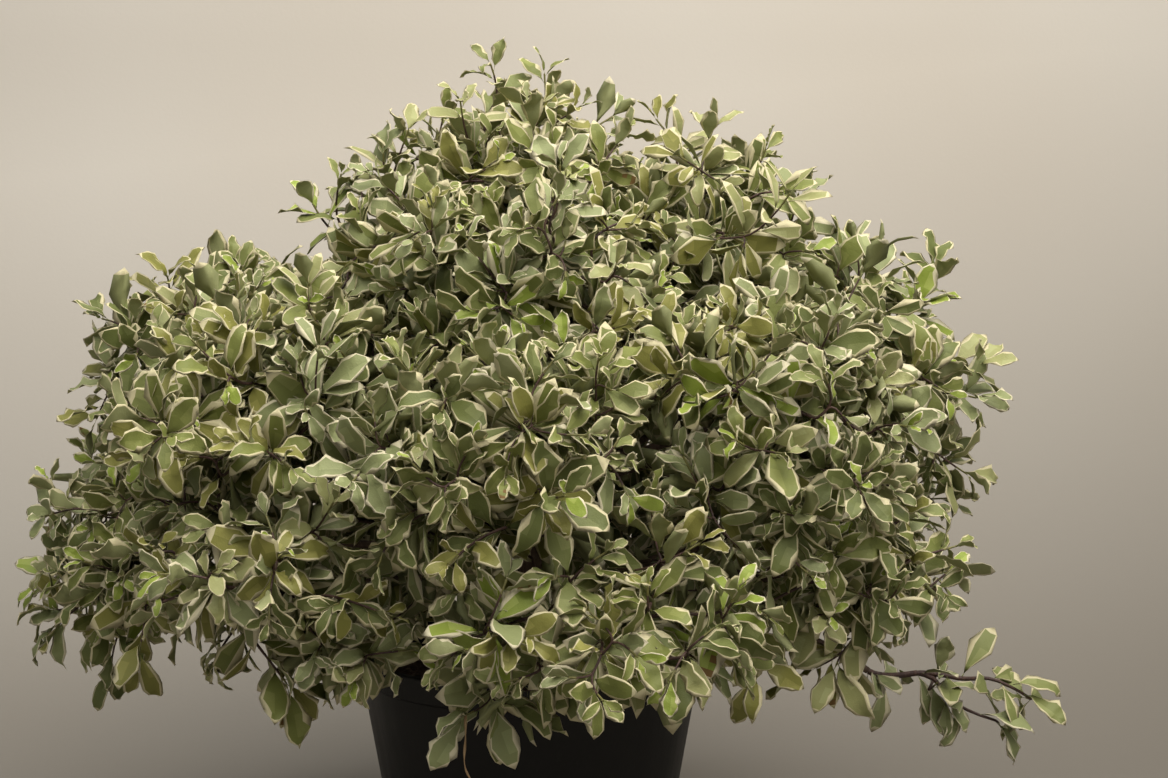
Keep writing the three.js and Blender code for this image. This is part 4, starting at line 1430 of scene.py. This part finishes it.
def furrow_height(place, around, along):
    """The bark's height: furrows run up it, and 0 is the limb's own surface."""
    stretched = Vector((place.x * around, place.y * around, place.z * along))
    ridge = 1 - abs(noise.fractal(stretched, *BARK["noise"], noise_basis="PERLIN_ORIGINAL")) * BARK["ridge"]
    return max(0.0, min(1.0, ridge)) - BARK["level"]


def add_tube(built, curve, radius_at, rings, sides, detail):
    """A closed tube whose surface the detail function moves in or out, in millimetres."""
    start = curve.heading(0)
    side = start.cross(RIGHT if abs(start.x) < ALONG_AXIS else UP).normalized()
    rows = []
    for ring in range(rings + 1):
        share = ring / rings
        middle, axis, radius = curve.at(share), curve.heading(share), radius_at(share)
        side = (side - axis * side.dot(axis)).normalized()
        other = axis.cross(side)
        row = []
        for k in range(sides):
            angle = math.tau * k / sides
            spoke = side * math.cos(angle) + other * math.sin(angle)
            place = middle + spoke * radius
            row.append(built.add((middle + spoke * (radius + detail(place, share, angle))) * MM))
        rows.append(row)
    built.join_rings(rows)


def build_bark(crown):
    """The stem and all the boughs as one mesh."""
    relief = settings().bark_relief / MM
    built = ShapeBuilder()
    forks = [(curve.start, curve.heading(0)) for curve in crown.boughs.values()]
    flute_end = BARK["flute_reach"] * STEM["flare_height"] / STEM["height"]

    def swell(place, fork, way):
        away = (place - fork - way * BARK["fork_out"]).length / BARK["fork_radius"]
        return BARK["fork_swell"] * math.exp(-(away**2))

    def stem_detail(place, share, angle):
        depth = relief * lerp(BARK["stem_low"], BARK["stem_high"], share)
        flute = BARK["flute"] * max(0.0, 1 - share / flute_end)
        wave = math.sin(BARK["flutes"] * angle + BARK["flute_turn"] * share)
        swells = sum(swell(place, fork, way) for fork, way in forks)
        return depth * furrow_height(place, *BARK["stem_furrows"]) + swells + flute * wave

    def bough_detail(place, share, _angle):
        collar = BARK["collar"] * max(0.0, 1 - share * BARK["collar_pace"]) ** 2
        knots = BARK["knot"] * max(0.0, math.sin(share * BARK["knot_pace"])) ** BARK["knot_power"]
        return relief * BARK["bough_share"] * furrow_height(place, *BARK["bough_furrows"]) + collar + knots

    add_tube(built, STEM_CURVE, stem_radius, BARK["stem_rings"], BARK["stem_sides"], stem_detail)
    for curve in crown.boughs.values():
        rings = int(curve.measure / BARK["bough_ring"])
        add_tube(built, curve, bough_radius, rings, BARK["bough_sides"], bough_detail)
    return built.mesh("stem_and_boughs")


# Pot and soil

# The pot's mesh: a ring near each pole in millimetres, rings along each wall, and how much of a side each
# rounded corner may take.
POT_MESH = {"pole_ring": 40, "wall_rings": 12, "corner_share": 0.45, "sharp": math.radians(40)}
DRAIN_SIDES = 28
# The faint warp of the pot's thin wall, in metres: it is full from full_height up, and around and along tell
# how close its waves are.
POT_WARP = {"most": 0.0007, "around": 9, "along": 4, "full_height": 0.05}

# The soil's mesh: how far it keeps off the wall beyond the source's gap and how far its top is sunk, then the
# noise of its lumps, which are lower near its edge.
SOIL_MESH = {"slack": 0.3, "sunk": 1.5, "rings": 46, "sides": 110}
LUMPS = {"scale": 0.045, "noise": (0.7, 2.2, 4), "edge_width": 6, "edge_share": 0.3}

# Chips of bark: their own shapes in millimetres, and how they are strewn where the soil is level enough.
CHIP = {
    "kinds": 5,
    "spans": ((2.2, 5.5), (1.6, 3), (0.7, 1.6)),
    "jitter": (0.75, 1.2),
    "density": 12000.0,
    "least_level": 0.8,
    "tilt": 0.5,
    "sizes": (0.5, 1.3),
}


def rounded(corner, before, after, radius, steps=5):
    """The arc that rounds one corner of an outline, on less than half of each side."""
    into = (corner - before).normalized()
    out = (after - corner).normalized()
    turn = into.angle(out)
    most = POT_MESH["corner_share"]
    reach = min(radius * math.tan(turn / 2), most * (corner - before).length, most * (after - corner).length)
    start, end = corner - into * reach, corner + out * reach
    shares = [k / steps for k in range(steps + 1)]
    return [start.lerp(corner, t).lerp(corner.lerp(end, t), t) for t in shares]


def pot_profile():
    """The pot's section in millimetres, from its underside's middle over the lip to its floor's middle."""
    height, wall, floor, foot, proud = (POT[key] for key in ("height", "wall", "floor", "foot", "band_proud"))
    band_low = height - POT["band_height"]
    corners = [
        (POT["base_radius"] - foot, 0, 1.2),
        (pot_wall_radius(foot), foot, 1.2),
        (pot_wall_radius(band_low), band_low, 1.5),
        (pot_wall_radius(band_low) + proud, band_low + foot, 1.5),
        (pot_wall_radius(height) + proud, height, 2.6),
        (pot_wall_radius(height) - wall, height, 2.2),
        (pot_wall_radius(floor) - wall, floor, 3),
    ]
    pole = POT_MESH["pole_ring"]
    outline = [Vector((0, 0)), Vector((pole, 0))]
    points = [Vector((0, 0))] + [Vector(corner[:2]) for corner in corners] + [Vector((0, floor))]
    for number, (_, _, radius) in enumerate(corners, 1):
        is_wall = (points[number] - points[number - 1]).length > height / 2
        if is_wall:
            rings = POT_MESH["wall_rings"]
            outline += [outline[-1].lerp(points[number], k / rings) for k in range(1, rings)]
        outline += rounded(points[number], points[number - 1], points[number + 1], radius)
    return outline + [Vector((pole, floor)), Vector((0, floor))]


def turned_mesh(name, outline, sides):
    """Spins an outline round the upright axis, with its poles closed."""
    shape = bmesh.new()
    rim = [shape.verts.new((point.x * MM, 0, point.y * MM)) for point in outline]
    edges = [shape.edges.new(pair) for pair in zip(rim, rim[1:])]
    bmesh.ops.spin(
        shape, geom=rim + edges, axis=(0, 0, 1), cent=(0, 0, 0), angle=math.tau, steps=sides, use_merge=True
    )
    bmesh.ops.remove_doubles(shape, verts=shape.verts, dist=1e-6)
    bmesh.ops.recalc_face_normals(shape, faces=shape.faces)
    mesh = bpy.data.meshes.new(name)
    shape.to_mesh(mesh)
    shape.free()
    return mesh


def drill(piece, cutter):
    """Cuts the cutter out of a piece, and removes the cutter."""
    modifier = piece.modifiers.new("drain holes", "BOOLEAN")
    modifier.object = cutter
    modifier.operation = "DIFFERENCE"
    modifier.solver = "EXACT"
    graph = bpy.context.evaluated_depsgraph_get()
    piece.data = bpy.data.meshes.new_from_object(piece.evaluated_get(graph), depsgraph=graph)
    piece.modifiers.clear()
    bpy.data.objects.remove(cutter)


def drain_cutter():
    """Upright rods through the pot's floor, one for each drain hole."""
    shape = bmesh.new()
    for hole in range(DRAIN["count"]):
        angle = math.tau * (hole + 0.5) / DRAIN["count"]
        middle = Vector((math.cos(angle), math.sin(angle), 0)) * DRAIN["ring"] * MM
        radius = DRAIN["radius"] * MM
        bmesh.ops.create_cone(
            shape,
            cap_ends=True,
            segments=DRAIN_SIDES,
            radius1=radius,
            radius2=radius,
            depth=4 * POT["floor"] * MM,
            matrix=Matrix.Translation(middle),
        )
    mesh = bpy.data.meshes.new("drain_cutter")
    shape.to_mesh(mesh)
    shape.free()
    return new_piece("drain_cutter", mesh)


def warp_wall(mesh):
    """Nursery plastic is thin and never quite round."""
    around, along = POT_WARP["around"], POT_WARP["along"]
    for vertex in mesh.vertices:
        place = vertex.co
        if place.z > POT["foot"] * MM:
            stretched = Vector((place.x * around, place.y * around, place.z * along))
            sway = noise.noise(stretched) * POT_WARP["most"]
            aside = Vector((place.x, place.y, 0)).normalized()
            vertex.co += aside * sway * min(1, place.z / POT_WARP["full_height"])


def soil_mesh(lumps):
    """Soil that fills the pot, with a lumpy top mounded towards the stem."""
    built = ShapeBuilder()
    rings, sides = SOIL_MESH["rings"], SOIL_MESH["sides"]
    slack = POT["wall"] + SOIL["wall_gap"] + SOIL_MESH["slack"]
    foot = POT["floor"] + CLEARANCE
    outer = pot_wall_radius(SOIL_EDGE) - slack

    def top_height(place, radius):
        mound = min(1, (outer - radius) / (outer - SOIL["flat_radius"]))
        place.z = SOIL_EDGE + SOIL["crown"] * mound - SOIL_MESH["sunk"]
        lump = noise.fractal(place * LUMPS["scale"], *LUMPS["noise"])
        return place.z + lumps * lump * min(1, (outer - radius) / LUMPS["edge_width"] + LUMPS["edge_share"])

    def ring(radius, height=None):
        row = []
        for k in range(sides):
            angle = math.tau * k / sides
            place = Vector((radius * math.cos(angle), radius * math.sin(angle), 0))
            place.z = top_height(place, radius) if height is None else height
            row.append(built.add(place * MM))
        return row

    rows = [ring(pot_wall_radius(foot) - slack, foot)]
    rows += [ring(outer * (rings - k) / rings) for k in range(rings)]
    built.join_rings(rows)
    return built.mesh("potting_soil")


def chip_shapes():
    """Flat broken chips of bark, a few millimetres long."""
    collection = bpy.data.collections.new("chip_shapes")
    draw = Draw(SEEDS["chips"])
    for number in range(CHIP["kinds"]):
        shape = bmesh.new()
        bmesh.ops.create_icosphere(shape, subdivisions=1, radius=1)
        stretch = Vector([lerp(*span, draw()) for span in CHIP["spans"]]) * MM
        for vertex in shape.verts:
            vertex.co = Vector([x * s for x, s in zip(vertex.co, stretch)]) * lerp(*CHIP["jitter"], draw())
        mesh = bpy.data.meshes.new(f"chip_{number}")
        shape.to_mesh(mesh)
        shape.free()
        collection.objects.link(bpy.data.objects.new(mesh.name, mesh))
    return collection


def discard(shapes):
    """Removes a collection of shapes once their copies stand in a piece."""
    for shape in list(shapes.objects):
        bpy.data.objects.remove(shape)
    bpy.data.collections.remove(shapes)


# The dry strand, in millimetres: it hangs from a shoot near its tip to its end, bulges, sways and thins.
STRAND = {
    "end": Vector((-24, -304, 188)),
    "from_share": 0.97,
    "bulge": 5,
    "sway": 2.4,
    "sway_pace": (9.5, 7.0),
    "radius": 0.85,
    "thinning": 0.6,
    "knots": 0.35,
    "knot_pace": 23,
    "steps": 26,
}


def strand_path(holder):
    """Places and radii along the strand, in metres, from the shoot that holds it."""
    place, heading = holder.curve.at(STRAND["from_share"]), holder.curve.heading(1)
    x_pace, y_pace = STRAND["sway_pace"]
    places, thick = [], []
    for k in range(STRAND["steps"] + 1):
        share = k / STRAND["steps"]
        curl = Vector((math.sin(share * x_pace), math.cos(share * y_pace) - 1, 0)) * STRAND["sway"] * share
        bulge = heading * STRAND["bulge"] * math.sin(share * math.pi)
        radius = 1 - STRAND["thinning"] * share + STRAND["knots"] * math.sin(share * STRAND["knot_pace"])
        places.append((place.lerp(STRAND["end"], share) + bulge + curl) * MM)
        thick.append(STRAND["radius"] * radius * MM)
    return places, thick


def add_values(mesh, name, kind, values):
    """Puts an attribute with one value on each point of a mesh."""
    field = "vector" if kind == "FLOAT_VECTOR" else "value"
    mesh.attributes.new(name, kind, "POINT").data.foreach_set(field, values)


def path_mesh(name, places, edges, thick, green):
    """Edge paths, with how thick they are and where they are green."""
    mesh = bpy.data.meshes.new(name)
    mesh.from_pydata(places, edges, [])
    add_values(mesh, "thick", "FLOAT", thick)
    add_values(mesh, "green", "FLOAT", green)
    return mesh


def leaf_points(leaves):
    """One point for each leaf, with its turn, size and shape as attributes."""
    mesh = bpy.data.meshes.new("leaf_points")
    mesh.from_pydata([leaf[0] for leaf in leaves], [], [])
    add_values(mesh, "turn", "FLOAT_VECTOR", [angle for leaf in leaves for angle in leaf[1]])
    add_values(mesh, "size", "FLOAT", [leaf[2] for leaf in leaves])
    add_values(mesh, "shape", "INT", [leaf[3] for leaf in leaves])
    return mesh


# Operators


class ShrubOperator:
    """What the operators below share."""

    bl_options = {"REGISTER", "UNDO"}


@cache
def grown_crown():
    """The grown crown, made once for all the pieces that hang on it."""
    return Crown()


class SHRUB_OT_pot(ShrubOperator, bpy.types.Operator):
    """Turns the pot with its band, lip and drain holes, and gives it worn black plastic"""

    bl_idname = "shrub.pot"
    bl_label = "Nursery pot"

    def execute(self, context):
        piece = new_piece("nursery_pot", turned_mesh("nursery_pot", pot_profile(), settings().pot_sides))
        drill(piece, drain_cutter())
        warp_wall(piece.data)
        piece.data.shade_smooth()
        piece.data.set_sharp_from_angle(angle=POT_MESH["sharp"])
        piece.data.materials.clear()
        piece.data.materials.append(pot_material())
        finish_piece(piece, "pot_plastic", "pot")
        return {"FINISHED"}


class SHRUB_OT_soil(ShrubOperator, bpy.types.Operator):
    """Fills the pot with lumpy soil and scatters bark chips over it"""

    bl_idname = "shrub.soil"
    bl_label = "Potting soil"

    def execute(self, context):
        look = colours()
        mesh = soil_mesh(settings().soil_lumps / MM)
        mesh.shade_smooth()
        mesh.materials.append(soil_material("potting_soil", look.soil, look.soil_pale))
        soil = new_piece("potting_soil", mesh)
        shapes = chip_shapes()
        values = {
            "Chip shapes": shapes,
            "Density": CHIP["density"],
            "Least gap": settings().chip_gap,
            "Seed": SEEDS["scatter"],
        }
        chips = run_tree(bpy.data.objects.new("soil_chips", mesh.copy()), chip_tree(), values)
        chips.data.materials.clear()
        chips.data.materials.append(soil_material("bark_chips", look.bark, look.bark_pale))
        discard(shapes)
        finish_piece(soil, "potting_mix", "soil")
        finish_piece(chips, "potting_mix")
        return {"FINISHED"}


class SHRUB_OT_limbs(ShrubOperator, bpy.types.Operator):
    """Covers the stem and boughs in bark with furrows, flutes and collars"""

    bl_idname = "shrub.limbs"
    bl_label = "Stem and boughs"

    def execute(self, context):
        look = colours()
        mesh = build_bark(grown_crown())
        mesh.shade_smooth()
        mesh.materials.append(bark_material("stem_bark", look.bark, look.bark_pale, 0.82))
        piece = new_piece("stem_and_boughs", mesh)
        finish_piece(piece, "bark", "main_stem", *BOUGH_NODES)
        return {"FINISHED"}


class SHRUB_OT_twigs(ShrubOperator, bpy.types.Operator):
    """Grows every twig and shoot from the boughs' tips"""

    bl_idname = "shrub.twigs"
    bl_label = "Twigs"

    def execute(self, context):
        look = colours()
        places, edges, thick, green = [], [], [], []
        steps = TWIG_PATH["steps"]
        for twig in grown_crown().twigs:
            first = len(places)
            for k in range(steps + 1):
                share = k / steps
                places.append(twig.curve.at(share) * MM)
                thick.append(twig.radius(share) * MM)
                green.append(float(twig.shoot and share > TWIG_PATH["green_from"]))
            edges += [(first + k, first + k + 1) for k in range(steps)]
        mesh = path_mesh("twig_paths", places, edges, thick, green)
        values = {
            "Sides": settings().twig_sides,
            "Bark": bark_material("twig_bark", look.twig, look.twig_pale, 0.6),
            "Green bark": bark_material("green_shoot_bark", look.green_twig, look.green_twig_pale, 0.5),
        }
        piece = run_tree(bpy.data.objects.new("twigs", mesh), twig_tree(), values)
        finish_piece(piece, "bark", *FOLIAGE_NODES)
        return {"FINISHED"}


class SHRUB_OT_leaves(ShrubOperator, bpy.types.Operator):
    """Stands leaves in sprays on every shoot, one piece for each tint"""

    bl_idname = "shrub.leaves"
    bl_label = "Leaves"

    def execute(self, context):
        look = colours()
        shapes = leaf_shapes()
        sprays = {tint: [] for tint in TINT_SHARES}
        draw = Draw(SEEDS["sprays"])
        for twig in grown_crown().twigs:
            if twig.shoot:
                spray = Spray(twig, deal_tint(draw), 1 + draw.spread(HABIT["spray_jitter"]))
                leaves = leaf_places(grown_crown(), spray, draw)
                is_fresh = twig.kind == "outer" and draw() < HABIT["fresh_share"]
                fresh = HABIT["fresh_leaves"] if is_fresh else 0
                sprays["young"] += leaves[:fresh]
                sprays[spray.tint] += leaves[fresh:]
        tree = leaf_tree()
        margin = leaf_material("cream_margin", look.margin, 0.5)
        pale_margin = leaf_material("pale_margin", look.margin_pale, 0.5)
        underside = leaf_material("leaf_underside", look.underside, 0.62)
        spot = leaf_material("leaf_spot", look.spot, 0.7)
        for seed, (tint, leaves) in enumerate(sprays.items()):
            values = {
                "Leaf shapes": shapes,
                "Size spread": settings().size_spread,
                "Seed": seed,
                "Blade": leaf_material(f"{tint}_blade", getattr(look, f"{tint}_green"), 0.46),
                "Patch": leaf_material(f"{tint}_patch", getattr(look, f"{tint}_patch"), 0.48),
                "Margin": pale_margin if tint in ("silver", "young") else margin,
                "Underside": underside,
                "Spot": spot,
            }
            piece = run_tree(bpy.data.objects.new(f"leaves_{tint}", leaf_points(leaves)), tree, values)
            finish_piece(piece, "foliage", *FOLIAGE_NODES)
        discard(shapes)
        return {"FINISHED"}


class SHRUB_OT_strand(ShrubOperator, bpy.types.Operator):
    """Hangs a dry, twisted strand from the shoot nearest to its loose end"""

    bl_idname = "shrub.strand"
    bl_label = "Dry strand"

    def execute(self, context):
        look = colours()
        shoots = [twig for twig in grown_crown().twigs if twig.shoot]
        holder = min(shoots, key=lambda twig: (twig.curve.end - STRAND["end"]).length)
        places, thick = strand_path(holder)
        edges = [(k, k + 1) for k in range(STRAND["steps"])]
        mesh = path_mesh("strand_path", places, edges, thick, [0.0] * len(places))
        dry = bark_material("dry_strand", look.strand_dark, look.strand, 0.75)
        values = {"Sides": settings().twig_sides, "Bark": dry, "Green bark": dry}
        piece = run_tree(bpy.data.objects.new("dry_strand", mesh), twig_tree(), values)
        finish_piece(piece, "bark")
        return {"FINISHED"}


# Each light of the stage: its place, what it points at, its width and depth, and its colour.
WARM, COOL = (1, 0.95, 0.87), (0.95, 0.97, 1)
LIGHTS = {
    "top_light": ((0.28, -0.5, 1.7), (0, 0, 0.5), 2, 1.6, WARM),
    "front_light": ((1.1, -1.5, 2.1), (0, 0, 0.5), 1.6, 1.4, WARM),
    "wall_light": ((-0.5, 0.1, 2.3), (-0.6, 1.1, 1.4), 2.2, 0.5, COOL),
}
FILL_COLOUR = (1, 0.96, 0.9, 1)
BEND_STEPS = 24


def area_light(name, watts, place, aim, width, depth, colour):
    light = bpy.data.lights.new(name, "AREA")
    light.shape = "RECTANGLE"
    light.size, light.size_y = width, depth
    light.energy = watts
    light.color = colour
    lamp = link(bpy.data.objects.new(name, light))
    lamp.location = place
    lamp.rotation_euler = (Vector(aim) - Vector(place)).to_track_quat("-Z", "Y").to_euler()


class SHRUB_OT_stage(ShrubOperator, bpy.types.Operator):
    """Sets up the plain floor and wall, the soft light and the camera"""

    bl_idname = "shrub.stage"
    bl_label = "Stage"

    def execute(self, context):
        stage = context.scene.shrub_stage
        backdrop = new_piece("backdrop", self.backdrop_mesh(stage))
        backdrop.data.materials.append(wall_material())
        for name, facts in LIGHTS.items():
            area_light(name, getattr(stage, name), *facts)
        world = bpy.data.worlds.new("studio")
        world.use_nodes = True
        context.scene.world = world
        fill = world.node_tree.nodes["Background"]
        fill.inputs["Color"].default_value = FILL_COLOUR
        fill.inputs["Strength"].default_value = stage.sky
        self.camera(stage)
        context.scene.view_settings.view_transform = "Standard"
        return {"FINISHED"}

    def backdrop_mesh(self, stage):
        """A square floor, and a narrower sheet that bends up from it into the wall."""
        built = ShapeBuilder()
        half = stage.floor_size / 2
        corners = ((-half, -half), (half, -half), (half, half), (-half, half))
        built.face([built.add((x, y, 0)) for x, y in corners])
        section = []
        for k in range(BEND_STEPS + 1):
            angle = math.pi / 2 * k / BEND_STEPS
            back = stage.wall_distance - stage.wall_bend * (1 - math.sin(angle))
            section.append((back, stage.wall_bend * (1 - math.cos(angle))))
        section.append((section[-1][0], stage.wall_height))
        half = stage.wall_width / 2
        rows = [[built.add((x, y, z)) for x in (-half, half)] for y, z in section]
        for low, high in zip(rows, rows[1:]):
            built.face((low[0], low[1], high[1], high[0]))
        mesh = built.mesh("backdrop")
        mesh.shade_smooth()
        return mesh

    def camera(self, stage):
        lens = bpy.data.cameras.new("camera")
        lens.lens = stage.lens
        camera = link(bpy.data.objects.new("camera", lens))
        back = Vector((0, -math.cos(stage.elevation), math.sin(stage.elevation)))
        camera.location = Vector(stage.aim) + back * stage.distance
        camera.rotation_euler = (-back).to_track_quat("-Z", "Y").to_euler()
        bpy.context.scene.camera = camera


class SHRUB_PT_panel(bpy.types.Panel):
    """The shrub's pieces and settings"""

    bl_idname = "SHRUB_PT_panel"
    bl_label = "Potted shrub"
    bl_space_type = "VIEW_3D"
    bl_region_type = "UI"
    bl_category = "Shrub"

    def draw(self, context):
        for operator in OPERATORS:
            self.layout.operator(operator.bl_idname)
        for group in (context.scene.shrub_settings, context.scene.shrub_colours, context.scene.shrub_stage):
            box = self.layout.box()
            for name in group.__annotations__:
                box.prop(group, name)


OPERATORS = (
    SHRUB_OT_pot,
    SHRUB_OT_soil,
    SHRUB_OT_limbs,
    SHRUB_OT_twigs,
    SHRUB_OT_leaves,
    SHRUB_OT_strand,
    SHRUB_OT_stage,
)
CLASSES = (ShrubSettings, ShrubColours, StageSettings, *OPERATORS, SHRUB_PT_panel)


def register():
    for kind in CLASSES:
        bpy.utils.register_class(kind)
    bpy.types.Scene.shrub_settings = PointerProperty(type=ShrubSettings)
    bpy.types.Scene.shrub_colours = PointerProperty(type=ShrubColours)
    bpy.types.Scene.shrub_stage = PointerProperty(type=StageSettings)


def unregister():
    del bpy.types.Scene.shrub_stage
    del bpy.types.Scene.shrub_colours
    del bpy.types.Scene.shrub_settings
    for kind in reversed(CLASSES):
        bpy.utils.unregister_class(kind)


def main():
    register()
    bpy.ops.shrub.pot()
    bpy.ops.shrub.soil()
    bpy.ops.shrub.limbs()
    bpy.ops.shrub.twigs()
    bpy.ops.shrub.leaves()
    bpy.ops.shrub.strand()
    bpy.ops.shrub.stage()


if __name__ == "__main__":
    main()
